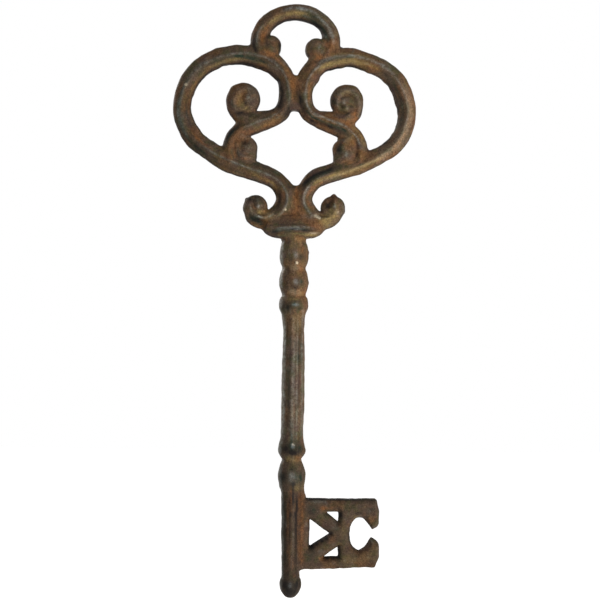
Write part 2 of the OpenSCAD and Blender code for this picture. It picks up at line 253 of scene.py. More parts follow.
def onto_runs(start, run, x, z):
    """For each place and each straight run: the share of the run beside the place, and how far the
    place is from there, across and up."""
    x = x.reshape(-1, 1) - start[:, 0]
    z = z.reshape(-1, 1) - start[:, 1]
    t = np.clip((x * run[:, 0] + z * run[:, 1]) / np.maximum((run ** 2).sum(1), 1e-9), 0, 1)
    return t, x - t * run[:, 0], z - t * run[:, 1]


class Curve:
    """A path on the front plane. A row is x, z, then what is carried along it."""

    def __init__(self, points, steps=14, first=0.0):
        self.rows = blend_through(points, steps)
        self.rows[:, -1] += first

    def near(self, x, z):
        """Distance to the path, with its sign on the left of the way along, and the carried values."""
        a = self.rows[:-1]
        b = self.rows[1:]
        run = b[:, :2] - a[:, :2]
        t, dx, dz = onto_runs(a, run, x, z)
        gap = dx * dx + dz * dz
        best = gap.argmin(1)
        pick = np.arange(len(best))
        t = t[pick, best][:, None]
        carried = a[best, 2:] * (1 - t) + b[best, 2:] * t
        side = run[best, 0] * dz[pick, best] - run[best, 1] * dx[pick, best]
        distance = np.sqrt(gap[pick, best]) * np.where(side < 0, -1, 1)
        return distance.reshape(x.shape), [c.reshape(x.shape) for c in carried.T]


def on_face(x, z):
    """Place on a face of what seems to stand at x, z on the parting plane."""
    return tuple(m + (v - m) / (1 + FACE_SHARE) for v, m in zip((x, z), PICTURE_MIDDLE))


def lift(flat):
    """A plane's values as a layer of the grid."""
    return flat[:, None, :]


def smooth(edge_0, edge_1, value):
    t = np.clip((value - edge_0) / (edge_1 - edge_0), 0, 1)
    return t * t * (3 - 2 * t)


def soft_max(a, b, k):
    h = np.maximum(k - np.abs(a - b), 0)
    return np.maximum(a, b) + h * h / (4 * k)


class Skin:
    """Distance field of the casting, and the number of the member that owns each place."""

    def __init__(self):
        self.axes = [np.arange(a, b + STEP, STEP) for a, b in zip(GRID_LOW, GRID_HIGH)]
        shape = tuple(len(a) for a in self.axes)
        self.field = np.full(shape, FAR, np.float32)
        self.owner = np.zeros(shape, np.uint8)
        self.relief = np.zeros((shape[0], shape[2]))
        self.ragged = np.full((shape[0], shape[2]), 0.15)

    def block(self, xs, zs, margin=MARGIN):
        """Slices of the grid round the places on the front plane, and its coordinates there."""
        cut = []
        for axis, values in ((0, xs), (2, zs)):
            i = np.searchsorted(self.axes[axis], np.min(values) - margin)
            j = np.searchsorted(self.axes[axis], np.max(values) + margin)
            cut.append(slice(max(i - 1, 0), j + 1))
        x, z = np.meshgrid(self.axes[0][cut[0]], self.axes[2][cut[1]], indexing="ij")
        return cut, x, z

    def merge(self, cut, distance, owner, fillet):
        """Joins a member to the casting, with a fillet of about that radius."""
        place = (cut[0], slice(None), cut[1])
        old = self.field[place]
        closer = distance < old
        numbers = np.broadcast_to(owner, distance.shape)
        self.owner[place][closer] = numbers[closer]
        soft = np.maximum(fillet - np.abs(distance - old), 0)
        self.field[place] = np.minimum(distance, old) - soft * soft / (4 * np.maximum(fillet, 0.01))


skin = Skin()
Y = np.abs(skin.axes[1])[None, :, None]
FACING = smooth(1.2, 3.0, Y)


def bar_section(offset, left, right, crest, half_t):
    """Distance from a bar that reaches that far to the left and the right of its path."""
    on_left = offset > crest
    reach = np.where(on_left, left - crest, right + crest)
    across = np.where(on_left, offset - crest, crest - offset)
    slope = (half_t - EDGE_HALF) / reach
    share = np.clip(across / reach, 0, 1)
    fall = slope * (np.sqrt(across ** 2 + CREST_R ** 2) - CREST_R) - 4 * CROWN * share * (1 - share)
    roof = (Y - lift(half_t - fall)) / lift(np.sqrt(1 + slope ** 2))
    wall = lift(np.where(offset > 0, offset - left, -offset - right)) + DRAFT * Y
    return soft_max(roof, wall, EDGE_R)


def round_section(offset, half_w, half_t, power_w, power_t):
    """Distance from a bar or head with a rounded section."""
    size = (lift((np.abs(offset) / half_w) ** power_w) + (Y / half_t) ** power_t) ** (2 / (power_w + power_t))
    reach = np.sqrt(lift(offset ** 2) + Y * Y) + 1e-3
    return reach * (1 - 1 / np.maximum(size, 1e-3))


def raise_line(height, width, points):
    """Raises or sinks a soft line on the front and the back along the points."""
    p = np.array([on_face(*q) for q in points])
    cut, x, z = skin.block(p[:, 0], p[:, 1], 6)
    distance, _ = Curve([(*q, 0) for q in p], 8).near(x, z)
    skin.relief[cut[0], cut[1]] += height * np.exp(-(distance / width) ** 2)


def raise_spot(x, z, height, radius):
    x, z = on_face(x, z)
    cut, px, pz = skin.block(x, z, 3 * radius)
    skin.relief[cut[0], cut[1]] += height * np.exp(-((px - x) ** 2 + (pz - z) ** 2) / radius ** 2)


def opposite(place):
    return (-place[0], place[1])


def polygon_distance(points, x, z):
    """Distance from an outline, below zero inside it."""
    p = np.asarray(points, float)
    q = np.roll(p, -1, axis=0)
    run = q - p
    _, dx, dz = onto_runs(p, run, x, z)
    gap = np.hypot(dx, dz).min(1)
    fx = x.reshape(-1, 1)
    fz = z.reshape(-1, 1)
    crosses = (p[:, 1] > fz) != (q[:, 1] > fz)
    drop = np.where(run[:, 1] == 0, 1e-9, run[:, 1])
    right = fx < (fz - p[:, 1]) * run[:, 0] / drop + p[:, 0]
    inside = (crosses & right).sum(1) % 2 == 1
    return np.where(inside, -gap, gap).reshape(x.shape)


# Members of the bow

def scroll_rows(places, reaches, unit):
    return [(*place, *(r / 100 * unit for r in row)) for place, row in zip(places, reaches)]


def owned(station, owners):
    """Number of the node at each station. Owners are the nodes before and after a border."""
    before, after, border = owners
    return lift(np.where(station < border, NUMBER[before], NUMBER[after]))


def round_curve(curve, side, reach):
    """Block of the grid round a curve, which side 1 mirrors, with offset and carried values."""
    cut, x, z = skin.block(-side * curve.rows[:, 0], curve.rows[:, 1], reach + MARGIN)
    return cut, x, z, *curve.near(-side * x, z)


def add_bar(curve, side, owners, fillet, joint):
    """Merges a bar that follows a curve. Side is -1 on the left and 1 on the right, where the curve
    is mirrored. No fillet grows near the joint, a place and two distances from it, where one bar
    runs on into another."""
    cut, x, z, offset, carried = round_curve(curve, side, curve.rows[:, 2:4].max())
    left, right, crest, station = carried
    lean = np.gradient(offset, STEP)
    shift = [(v - m) * g for v, m, g in zip((x, z), PICTURE_MIDDLE, lean)]
    crest = crest - FACE_SHARE * np.clip(sum(shift), -150, 150)
    (joint_x, joint_z), near, far = joint
    away = np.hypot(-side * x - joint_x, z - joint_z)
    distance = bar_section(offset, left, right, crest, BAR_T / 2)
    bead = BEAD + (NECK_BEAD - BEAD) * smooth(LOBE_END - 1, LOBE_END + 1, station)
    line = np.exp(-((offset - crest) / BEAD_HALF) ** 2)
    distance = distance - lift(bead * line * (np.abs(offset) < BEAD_REACH)) * FACING
    skin.merge(cut, distance, owned(station, owners), lift(fillet * smooth(near, far, away)))
    inside = (station > ARM_END + 1) & (station < LOBE_END) & (np.abs(offset - left) < FLASH_REACH)
    skin.ragged[cut[0], cut[1]][inside] = 1


def add_round_bar(points, side, owners, half_t, power, fillet):
    """Merges a short bar with a rounded section. A point is x, z and the width there."""
    curve = Curve(points)
    cut, _, _, offset, (width, station) = round_curve(curve, side, curve.rows[:, 2].max() / 2)
    skin.merge(cut, round_section(offset, width / 2, half_t, 2.0, power), owned(station, owners), fillet)


def add_head(centre, diameter, thickness, node, fillet, power_w=3.0, power_t=2.6):
    """Merges the round head of a curl."""
    r = diameter / 2
    cut, x, z = skin.block(*centre, r + 5)
    radius = np.hypot(x - centre[0], z - centre[1])
    skin.merge(cut, round_section(radius, r, thickness / 2, power_w, power_t), NUMBER[node], fillet)


def mirrored(right_half):
    """Closed outline from its right half, listed from the top down."""
    return right_half + [opposite(p) for p in right_half[::-1]]


def add_web(outline, half_ts, owners, fillet):
    """Merges a plate. The pairs half_ts are heights, from the top down, and half the thickness. The
    border between its owners is a depth below the nail's seat."""
    cut, x, z = skin.block(*zip(*outline))
    half_t = np.interp(z, *zip(*half_ts[::-1]))
    distance = soft_max(lift(polygon_distance(outline, x, z)), Y - lift(half_t), WEB_EDGE_R)
    skin.merge(cut, distance, owned(-z, owners), fillet)


NOWHERE = ((0.0, 60.0), 0.0, 1.0)
scroll_places = [bow_place(*p) for p in S_PATH]
lobe_joint = (scroll_places[SPLIT], 8.0, 18.0)
branch_joint = (bow_place(*BRANCH[0][:2]), 3.0, 11.0)
loop = Curve(scroll_rows([loop_place(*p[:2]) for p in LOOP], [p[2:] for p in LOOP], LOOP_BAR))
volute_at = bow_place(46, 26)
neck_volute_at = bow_place(33, 88.5)
lower_curl_at = bow_place(43.5, 54.2)
foot_curls = [(-12.5, -13.9, FOOT_CURL_D + 0.4), (11.1, -15.5, FOOT_CURL_D + 1.4), (15.5, -9.6, 3.0)]
# How far each round head stands from its place, to the right and up
NUDGES = {
    "left": {"volute": (0.4, 0.3), "neck": (-0.6, 0.1), "curl": (-0.1, -0.7)},
    "right": {"volute": (0.1, 0.0), "neck": (1.1, -0.1), "curl": (0.7, -1.2)},
}
scrolls = {}


def head_at(place, side, nudge):
    return (-side * place[0] + nudge[0], place[1] + nudge[1])


for side, hand in ((-1, "left"), (1, "right")):
    heart, inner, neck, volute, curl = (hand + member for member in (
        "_heart_scroll", "_inner_scroll", "_neck_scroll", "_inner_volute", "_lower_curl"))
    rows = scroll_rows(scroll_places, REACHES[hand], BAR_W)
    scrolls[hand] = Curve(rows)
    add_bar(Curve(rows[:SPLIT + 1]), side, (inner, heart, ARM_END), FILLET, lobe_joint)
    add_bar(Curve(rows[SPLIT:], first=SPLIT), side, (heart, neck, LOBE_END), FILLET, lobe_joint)
    nudge = NUDGES[hand]
    swell = RIGHT_BRANCH_SWELL if side == 1 else 0
    reaches = [(b[2] + swell * (i in (2, 3)), *b[3:]) for i, b in enumerate(BRANCH)]
    branch = Curve(scroll_rows([bow_place(*b[:2]) for b in BRANCH], reaches, BAR_W))
    add_bar(branch, side, (inner, volute, BRANCH_END), BRANCH_FILLET, branch_joint)
    at = head_at(volute_at, side, nudge["volute"])
    add_head(at, VOLUTE_D - 0.5, VOLUTE_T - 0.6, volute, VOLUTE_FILLET)
    at = head_at(neck_volute_at, side, nudge["neck"])
    add_head(at, NECK_VOLUTE_D - 0.4, CURL_T - 0.4, neck, NECK_VOLUTE_FILLET)
    x, z = head_at(lower_curl_at, side, nudge["curl"])
    stub = [(-side * x, z + 0.6, LOWER_CURL_D), (-side * x + 0.5, z - 3.2, LOWER_CURL_D - 1.6)]
    add_round_bar(stub, side, (curl, curl, 0), CURL_T / 2, 2.8, CURL_FILLET)

add_bar(loop, -1, ("hanging_loop", "hanging_loop", 0), BRANCH_FILLET, NOWHERE)
for x, z, d in foot_curls:
    add_head((x, z), d, CURL_T, "hanging_loop", CURL_FILLET)
# The corner between the lobes is filled up to a sharp V, and below it a plate joins the lobes
LEFT_WING = [(-16, -15.5), (-9.6, -17.4), (-9, -18.4), (0.1, -29.8), (0.1, -34), (-5, -30), (-16, -22)]
RIGHT_WING = [(15, -16.5), (7.2, -20.7), (7, -22.2), (1, -29.8), (1, -34), (6, -30), (15, -23)]
LOBE_WEB = mirrored([(0.5, -29.8), (3, -32.5), (4, -36), (4.2, -41), (2.6, -46.6)])
for node, outline, half_t in (
        ("left_heart_scroll", LEFT_WING, 2.6), ("right_heart_scroll", RIGHT_WING, 2.6),
        ("lobe_web", LOBE_WEB, WEB_T / 2)):
    add_web(outline, [(0, half_t), (-100, half_t)], (node, node, 0), WEB_FILLET)
NECK_WEB = mirrored([
    (3.6, -85.6), (3.2, -91), (4.5, -96.5), (8, -100), (11.5, -103.2), (13.6, -106), (13.8, -107.5)])
SKIRT = [(-85, WEB_T / 2), (-95, WEB_T / 2), (-99, 3.2), (-103, 4.3), (-105.5, 5.6), (-107.5, 6)]
add_web(NECK_WEB, SKIRT, ("neck_web", "collar", -RIM_Z - DOME_H), WEB_FILLET + 0.2)


# Collar and turned parts

def add_collar():
    """The oval collar. Its rim is a bead at the front and back, and its bowl is fuller at the sides."""
    foot_r = WAIST_D / 2 + 0.3
    # Heights from the rim, and how far the bowl reaches there from its foot to its full size
    wide_levels = [
        (5.4, -0.45), (4.4, 0.05), (3, 0.55), (1.3, 0.88), (0.4, 0.98), (-0.5, 1), (-1.6, 0.97), (-2.9, 0.87),
        (-4.2, 0.7), (-5.3, 0.48), (-6.1, 0.18), (-6.5, 0)]
    deep_levels = [
        (5.4, -1), (4, -0.5), (2.4, -0.05), (1, 0.32), (0.4, 0.5), (0, 0.75), (-0.5, 0.93), (-1.2, 1),
        (-2, 0.95), (-2.7, 0.78), (-3.4, 0.58), (-4.4, 0.36), (-5.5, 0.16), (-6.5, 0)]
    cut, x, z = skin.block((-COLLAR_W / 2, COLLAR_W / 2), (FOOT_Z, RIM_Z + DOME_H))
    radii = []
    arch = np.clip(1 - (x / 13) ** 2, 0, 1)
    for levels, width in ((wide_levels, COLLAR_W), (deep_levels, COLLAR_DEPTH)):
        heights = [RIM_Z + h for h, _ in levels[::-1]]
        spread = np.interp(z - arch, heights, [s for _, s in levels[::-1]])
        radii.append(foot_r + spread * (width / 2 - foot_r))
    size = np.sqrt(lift(x / radii[0]) ** 2 + (Y / lift(radii[1])) ** 2)
    reach = np.sqrt(lift(x * x) + Y * Y)
    share = lift(x * x) / np.maximum(reach * reach, 1e-3)
    slopes = [lift(np.gradient(r, STEP, axis=1)) for r in radii]
    lean = np.sqrt(1 + share * slopes[0] ** 2 + (1 - share) * slopes[1] ** 2)
    distance = reach * (1 - 1 / np.maximum(size, 1e-3)) / lean
    distance = np.maximum(distance, lift(np.maximum(FOOT_Z - z, z - RIM_Z - DOME_H)))
    skin.merge(cut, distance, NUMBER["collar"], WEB_FILLET)


def knop(z, h, share, d, waist):
    """Heights and diameters of a knop that hangs from z and is widest at a share of its height."""
    return [
        (z - 0.42 * share * h, waist + 0.7 * (d - waist)), (z - share * h, d),
        (z - (0.4 + 0.6 * share) * h, waist + 0.84 * (d - waist)),
    ]


def spread_down(start, length, rows):
    """Heights and diameters from heights given as shares of a length, down from the start."""
    return [(start - share * length, d) for share, d in rows]


def turned_rows():
    """Heights and diameters down the turned members, from the collar's foot to the tip."""
    waist_1 = FOOT_Z - KNOP_HEIGHTS[0]
    waist_2 = waist_1 - KNOP_HEIGHTS[1]
    shank_l = SHANK_TOP - SHANK_END
    bell_waist = SHANK_END - BELL_H
    return [
        (FOOT_Z + 3, WAIST_D - 1), (FOOT_Z, WAIST_D - 0.2),
        *knop(FOOT_Z, KNOP_HEIGHTS[0], 0.58, KNOP_D, WAIST_D), (waist_1, WAIST_D),
        *knop(waist_1, KNOP_HEIGHTS[1], 0.53, KNOP_D, WAIST_D), (waist_2, WAIST_D),
        *knop(waist_2, KNOP_HEIGHTS[2], 0.48, KNOP_D, WAIST_D),
        *spread_down(SHANK_TOP, shank_l, [
            (0, SLIM_D + 1.4), (0.13, SLIM_D + 0.3), (0.34, (SLIM_D + 2 * SHANK_D) / 3 + 0.2),
            (0.65, SHANK_D + 0.1)]),
        (SHANK_END + 0.08 * shank_l, SHANK_D - 0.2),
        *spread_down(SHANK_END, BELL_H, [
            (0, SHANK_D + 0.2), (0.36, LOW_KNOP_D - 0.6), (0.62, LOW_KNOP_D),
            (0.84, (LOW_KNOP_D + LOW_WAIST_D) / 2 - 0.4), (1, LOW_WAIST_D)]),
        *spread_down(bell_waist, bell_waist - STEM_TOP, [
            (0.2, (LOW_KNOP_D + LOW_WAIST_D) / 2 + 0.4), (0.48, LOW_KNOP_D + 0.2),
            (0.76, (LOW_KNOP_D + STEM_D) / 2 + 0.3)]),
        (STEM_TOP, STEM_D), ((STEM_TOP + STEM_END) / 2, (STEM_D + STEM_LOW_D) / 2),
        (STEM_END, STEM_LOW_D + 0.2),
        *spread_down(STEM_END, STEM_END - TIP_END, [
            (0.2, 0.93 * TIP_D), (0.42, TIP_D), (0.66, 0.9 * TIP_D), (0.86, 0.62 * TIP_D),
            (0.97, 0.3 * TIP_D)]),
        (TIP_END, 0),
    ]


def add_turned():
    rows = blend_through(turned_rows(), 5)[::-1]
    cut, x, z = skin.block((-9, 9), (TIP_END, FOOT_Z))
    line = skin.axes[2][cut[1]]
    radius = np.interp(line, rows[:, 0], rows[:, 1] / 2)
    lean = np.sqrt(1 + np.gradient(radius, STEP) ** 2)
    bowed = np.interp(z, *zip(*BOWED[::-1]))
    reach = np.sqrt(lift((x - bowed) ** 2) + Y * Y)
    distance = (reach - radius[None, None, :]) / lean[None, None, :]
    distance = np.maximum(distance, lift(np.maximum(TIP_END - z, z - FOOT_Z - 3)))
    owner = np.full(len(line), NUMBER["upper_baluster"])
    for border, node in ((SHANK_TOP, "shank"), (SHANK_END, "lower_baluster"), (STEM_TOP, "bit_stem"),
                         (STEM_END, "tip_ball")):
        owner[line < border] = NUMBER[node]
    skin.merge(cut, distance, owner[None, None, :], TURNED_FILLET)


# The bit

def bit_outlines():
    """The plate and its openings at half its thickness, about the middle of the bit's height."""
    half = BIT_H / 2
    top = WINDOW_H / 2
    x0 = STEM_D / 2 + HUB_BAR_W
    x1 = x0 + WINDOW_W
    rise = top / WINDOW_W
    lean = math.atan(rise)
    below = BRACE_W * 0.42 / math.cos(lean)
    beside = BRACE_W * 0.58 / math.sin(lean)
    throat_x = x1 + POST_W + THROAT_W / 2
    tip_x = BIT_REACH - LIP_L
    fall = (WINDOW_W - beside) * rise
    plate = [
        (0, -half - 0.3), (BIT_REACH - 1.5, EDGE_RISE - half + 0.1),
        (BIT_REACH + 0.3, EDGE_RISE + 4.4 - half), (BIT_REACH + 0.2, 0), (BIT_REACH, half - 4.8),
        (BIT_REACH - 1.1, half - 0.1), (0, half)]
    windows = [
        [(x0 - 0.4, top - below + 0.2), (x0 - 0.6, below - top + 0.6),
         (x0 + 0.5 + (top - below) / rise, 0.1)],
        [(x0 + beside + 0.5, top - 0.5), (x1 - 0.4, top - 0.4), (x1 - 0.4, top - fall)],
        [(x0 + beside - 0.8, -top - 0.2), (x1 - 0.3, -top - 0.2), (x1 - 0.3, fall - top)]]
    throat = [(BIT_REACH + LIP_L, MOUTH / 2 + 2 * LIP_SLANT), (tip_x, MOUTH / 2)]
    for a in range(44, 317, 17):
        tight = 0.93 if a > 280 else 1.0
        throat.append((throat_x + tight * THROAT_W / 2 * math.cos(math.radians(a)),
                       tight * THROAT_H / 2 * math.sin(math.radians(a))))
    throat += [(tip_x - 0.7, 0.8 - MOUTH / 2), (BIT_REACH + LIP_L, -MOUTH / 2 - 2 * LIP_SLANT)]
    return plate, windows + [throat]


def add_bit():
    plate, openings = bit_outlines()
    cut, x, z = skin.block((0, BIT_REACH), (BIT_Z - BIT_H / 2, BIT_Z + BIT_H / 2), MARGIN + 1)
    z = z - BIT_Z
    small = [(px - BIT_CORNER * (px > 1), pz - BIT_CORNER * np.sign(pz)) for px, pz in plate]
    outer = lift(polygon_distance(small, x, z) - BIT_CORNER) + EDGE_DRAFT * Y / (BIT_T / 2)
    draft = OPENING_DRAFT * Y / (BIT_T / 2) - 0.1
    body = soft_max(outer, Y - BIT_T / 2, BIT_EDGE_R)
    for outline in openings:
        body = soft_max(body, draft - lift(polygon_distance(outline, x, z)), OPENING_R)
    skin.merge(cut, body, NUMBER["bit"], ROOT_R)


add_collar()
add_turned()
add_bit()
# Ragged root of the bit, and small burrs left by the mould: x, z, radius, node
root = [(4.2, STEM_TOP + 8, 2.8), (4.9, STEM_TOP + 3.5, 3.4), (5.4, STEM_TOP - 1.5, 3.8)]
add_round_bar(root, -1, ("lower_baluster", "bit_stem", 1.5), 1.7, 2.0, WEB_FILLET)
BURRS = [
    (25.3, -98.5, 1.0, "right_neck_scroll"), (-24.4, -92.6, 0.7, "left_neck_scroll"),
    (22.9, -61.3, 0.7, "right_lower_curl"), (7.5, -119.8, 0.5, "upper_baluster"),
    (7.4, -135.4, 0.5, "upper_baluster"), (6.6, STEM_TOP - 0.6, 0.8, "bit"),
    (20.6, -90.9, 1.2, "right_neck_scroll"),
]
for x, z, r, node in BURRS:
    add_head((x, z), 2 * r, 2 * r, node, 1.0, 2.0, 2.0)


def carve(lines, centre=(0, 0)):
    """Raises or sinks lines: height, width, points from the centre."""
    for height, width, line in lines:
        raise_line(height, width, [(centre[0] + x, centre[1] + z) for x, z in line])


# Ridges and grooves of the volutes and curls
right_volute_at = opposite(volute_at)
right_neck_volute_at = opposite(neck_volute_at)
right_curl_at = opposite(lower_curl_at)
CARVING = [
    (volute_at, [
        (0.75, 1.4, [(-4.4, -6.5), (-4.6, -1.5), (-3.9, 1.6), (-2.4, 4.2), (0.2, 6), (3.2, 6), (5.6, 4.2)]),
        (-0.7, 1, [(2.4, -3.6), (0.6, -1.8), (-0.4, 0.4), (0.2, 2.8), (1.6, 4.3)]),
        (-0.25, 1.1, [(-6, -6.4), (-2.6, -6.6), (0.6, -6.2), (3.6, -6.6)])]),
    (right_volute_at, [
        (0.6, 1.2, [(6.8, -6), (7, -1), (5.2, 3.2), (1.4, 5.6), (-2.6, 4.8), (-4.6, 1.6), (-4.4, -1.8)]),
        (-0.8, 1, [(4.6, -4.2), (4.4, -0.6), (3, 2.2), (0.4, 3.2), (-2.4, 2), (-3.4, -0.6), (-2.4, -3)]),
        (0.4, 0.8, [(-3.2, 0.2), (-1.4, 1), (0.6, 0.4)]),
        (-0.6, 0.9, [(-4.6, -5.2), (-1, -5.8), (2.4, -5.6)])]),
    (lower_curl_at, [
        (0.6, 1.1, [(1.6, 6.6), (-1.6, 6.4), (-3.9, 4.2), (-4.6, 1.4), (-4, -1.6), (-2.2, -4), (1, -5)]),
        (-0.5, 1.1, [(1.2, 3.4), (-0.4, 3.4), (-1.8, 2), (-2.2, 0)])]),
    (right_curl_at, [
        (0.4, 1, [(6, 4.4), (3.4, 6.2), (0.8, 5)]),
        (-0.5, 1, [(-1.4, 3.4), (-2.4, 0.8), (-1.7, -1.8)]),
        (-0.5, 0.7, [(5.2, 6.8), (6.6, 3.8), (7.4, 0.8), (6.9, -2.6)])]),
    (neck_volute_at, [
        (0.6, 0.9, [(-3.4, 1.8), (-3.3, -1.2), (-2, -3.4), (0.6, -4.6), (4, -4.5), (8, -2.6)]),
        (-0.8, 1, [(-4, -4.4), (-0.8, -6.2), (3, -6.7)]),
        (0.55, 0.9, [(0.2, 4.6), (0.9, 1)]),
        (-0.8, 0.9, [(-1.8, 3.8), (-1.4, 0.6), (0.2, -1), (2.8, 0.2)])]),
    (right_neck_volute_at, [
        (-1.2, 1.5, [(-2.4, 1.2), (-0.8, 1.8), (0, 3.8)]),
        (0.55, 0.8, [(1.5, 4), (1.9, 0.4)]),
        (0.3, 0.6, [(-7.4, -2.2), (-3, -2.9), (1.6, -3.2), (5, -2.6)]),
        (-0.3, 0.6, [(-7, -3.4), (-2.8, -4.1), (2, -4.4)]),
        (0.3, 0.6, [(-7, -4.5), (-2.6, -5.3), (2, -5.7)])]),
]
for centre, lines in CARVING:
    carve(lines, centre)
for centre, x, z, height, radius in [
        (volute_at, 3.2, 0.6, 0.3, 2.4), (right_volute_at, 0.3, -3.2, 0.5, 1.1),
        (right_volute_at, -2.2, -2.6, -0.6, 1.2), (right_volute_at, 2.2, -2.3, -0.6, 1.2),
        (lower_curl_at, 1.4, 0.8, 0.35, 1.8), (right_curl_at, 1.7, -2, 0.45, 2.2)]:
    raise_spot(centre[0] + x, centre[1] + z, height, radius)

# The bead of the collar's rim, with a groove on each side
RIM = [(-13.5, -110), (-11, -109.1), (-5.6, -108), (0.3, -107.4), (6.1, -107.7), (15, -109)]
carve([(height, width, [(x, z - drop * (1 - (x / 17) ** 2)) for x, z in RIM])
       for height, width, drop in ((0.3, 0.9, 0), (-0.3, 0.6, -1.7), (-0.3, 0.6, 1.7))])

# Creases down the shank, the stem of the bit and the neck's web
carve([
    (-0.3, 0.5, [(-1.6, SHANK_TOP - 2), (-1.4, -175), (-1.7, -195), (-1.5, SHANK_END + 2)]),
    (0.22, 0.9, [(-0.3, SHANK_TOP - 1), (0, -175), (-0.4, -195), (-0.2, SHANK_END + 1)]),
    (0.16, 0.5, [(2, SHANK_TOP - 4), (2.2, -180), (1.9, -205), (2.1, SHANK_END + 2)]),
    (-0.18, 0.5, [(3.2, SHANK_TOP - 5), (3, -185), (3.2, SHANK_END + 4)]),
    (-0.25, 0.7, [(2.6, STEM_TOP), (2.2, -262), (1.9, STEM_END)]),
    (-0.25, 0.6, [(-0.8, -87), (-0.6, -94), (-1.4, -101)]),
    (-0.2, 0.5, [(1.2, -88), (1.6, -95), (3.4, -102)]),
])


# Grain of the casting

# Spacing and height of the sand's lumps and grains, and the blurs that tell crests from hollows
GRAIN = ((9.0, 0.05), (3.6, 0.04), (1.8, 0.045), (1.1, 0.035))
NEAR_BLUR = 0.5
WIDE_BLUR = 2.0
rng = np.random.default_rng(41)


def lattice_noise(spacing, axes):
    """Smooth random values with one knot every spacing, made by blending a seeded lattice."""
    weights = []
    counts = []
    for axis in axes:
        place = (axis - axis[0]) / spacing
        base = np.floor(place).astype(int)
        f = place - base
        count = base[-1] + 4
        matrix = np.zeros((len(axis), count), np.float32)
        spline = [(1 - f) ** 3 / 6, (3 * f ** 3 - 6 * f ** 2 + 4) / 6,
                  (-3 * f ** 3 + 3 * f ** 2 + 3 * f + 1) / 6, f ** 3 / 6]
        for k, part in enumerate(spline):
            matrix[np.arange(len(axis)), base + k] = part
        weights.append(matrix)
        counts.append(count)
    values = rng.standard_normal(counts).astype(np.float32)
    for matrix in weights:
        values = np.moveaxis(np.tensordot(matrix, values, (1, 0)), 0, -1)
    return values / values.std()


def finish_skin():
    """Adds the ridges, the flash along the parting line and the grain of the sand to the field."""
    grain = np.zeros(skin.field.shape, np.float32)
    for spacing, height in GRAIN:
        grain += height * lattice_noise(spacing, skin.axes)
    rough = lattice_noise(2.2, (skin.axes[0], skin.axes[2]))
    flash = lift(np.clip(0.1 + 0.3 * rough, 0, 0.6) * skin.ragged) * np.exp(-(Y / FLASH_HALF) ** 2)
    skin.field -= (lift(skin.relief) * FACING + grain + flash + SWELL).astype(np.float32)


finish_skin()


def blurred(values, radius):
    """Three running means along each axis, close to a soft blur of that radius."""
    width = max(int(round(radius / STEP)), 1)
    for axis in range(3):
        for _ in range(3):
            line = np.moveaxis(values, axis, 0)
            line = np.concatenate([np.repeat(line[:1], width + 1, 0), line, np.repeat(line[-1:], width, 0)])
            total = np.cumsum(line, axis=0, dtype=np.float64)
            mean = (total[2 * width + 1:] - total[:-2 * width - 1]) / (2 * width + 1)
            values = np.moveaxis(mean, 0, axis).astype(np.float32)
    return values


solid = np.clip(0.5 - skin.field / STEP, 0, 1)
near_share = blurred(solid, NEAR_BLUR)
wide_share = blurred(solid, WIDE_BLUR)


# Surface of the skin

CORNERS = np.array([(i, j, k) for i in (0, 1) for j in (0, 1) for k in (0, 1)])
EDGES = [(a, b) for a in range(8) for b in range(a + 1, 8) if np.abs(CORNERS[a] - CORNERS[b]).sum() == 1]


def sample(volume, points):
    """Values of a volume between the knots of its grid, at points counted in steps."""
    top = np.array(volume.shape) - 1.001
    p = np.clip(points, 0, top)
    base = p.astype(int)
    f = p - base
    total = 0
    for c in CORNERS:
        weight = np.prod(np.where(c, f, 1 - f), axis=1)
        total = total + weight * volume[tuple((base + c).T)]
    return total


def net(field, labels):
    """Vertices in steps of the grid, and for each label the four-sided faces that close it."""
    shape = np.array(labels.shape) - 1
    corner = [labels[tuple(slice(o, o + s) for o, s in zip(c, shape))] for c in CORNERS]
    mixed = np.zeros(tuple(shape), bool)
    for c in corner[1:]:
        mixed |= c != corner[0]
    cells = np.argwhere(mixed)
    number = np.full(tuple(shape), -1, np.int64)
    number[mixed] = np.arange(len(cells))
    values = np.stack([field[tuple((cells + c).T)] for c in CORNERS], axis=1)
    place = np.zeros((len(cells), 3))
    count = np.zeros(len(cells))
    for a, b in EDGES:
        crosses = (values[:, a] < 0) != (values[:, b] < 0)
        gap = values[:, a] - values[:, b]
        t = np.where(crosses, values[:, a] / np.where(gap == 0, 1, gap), 0)
        place += np.where(crosses[:, None], CORNERS[a] + t[:, None] * (CORNERS[b] - CORNERS[a]), 0)
        count += crosses
    place = np.where(count[:, None] > 0, place / np.maximum(count, 1)[:, None], 0.5)
    faces = {}
    for axis in range(3):
        b, c = (axis + 1) % 3, (axis + 2) % 3
        lower = np.moveaxis(labels, axis, 0)[:-1]
        upper = np.moveaxis(labels, axis, 0)[1:]
        edges = np.argwhere(np.moveaxis(lower != upper, 0, axis))
        ends = edges[:, [b, c]]
        edges = edges[((ends > 0) & (ends < shape[[b, c]])).all(1)]
        step_a, step_b, step_c = np.eye(3, dtype=int)[[axis, b, c]]
        ring = [edges - step_b - step_c, edges - step_c, edges, edges - step_b]
        quads = np.stack([number[tuple(r.T)] for r in ring], axis=1)
        below = labels[tuple(edges.T)]
        above = labels[tuple((edges + step_a).T)]
        for here, there, order in ((below, above, [0, 1, 2, 3]), (above, below, [3, 2, 1, 0])):
            for label in np.unique(here[here > 0]):
                pick = here == label
                rows = np.column_stack([quads[pick][:, order], there[pick] == 0])
                faces.setdefault(int(label), []).append(rows)
    return cells + place, count > 0, {label: np.vstack(rows) for label, rows in faces.items()}


labels = np.where(skin.field < 0, skin.owner, 0)
points, on_surface, faces = net(skin.field, labels)
gradient = np.gradient(skin.field)


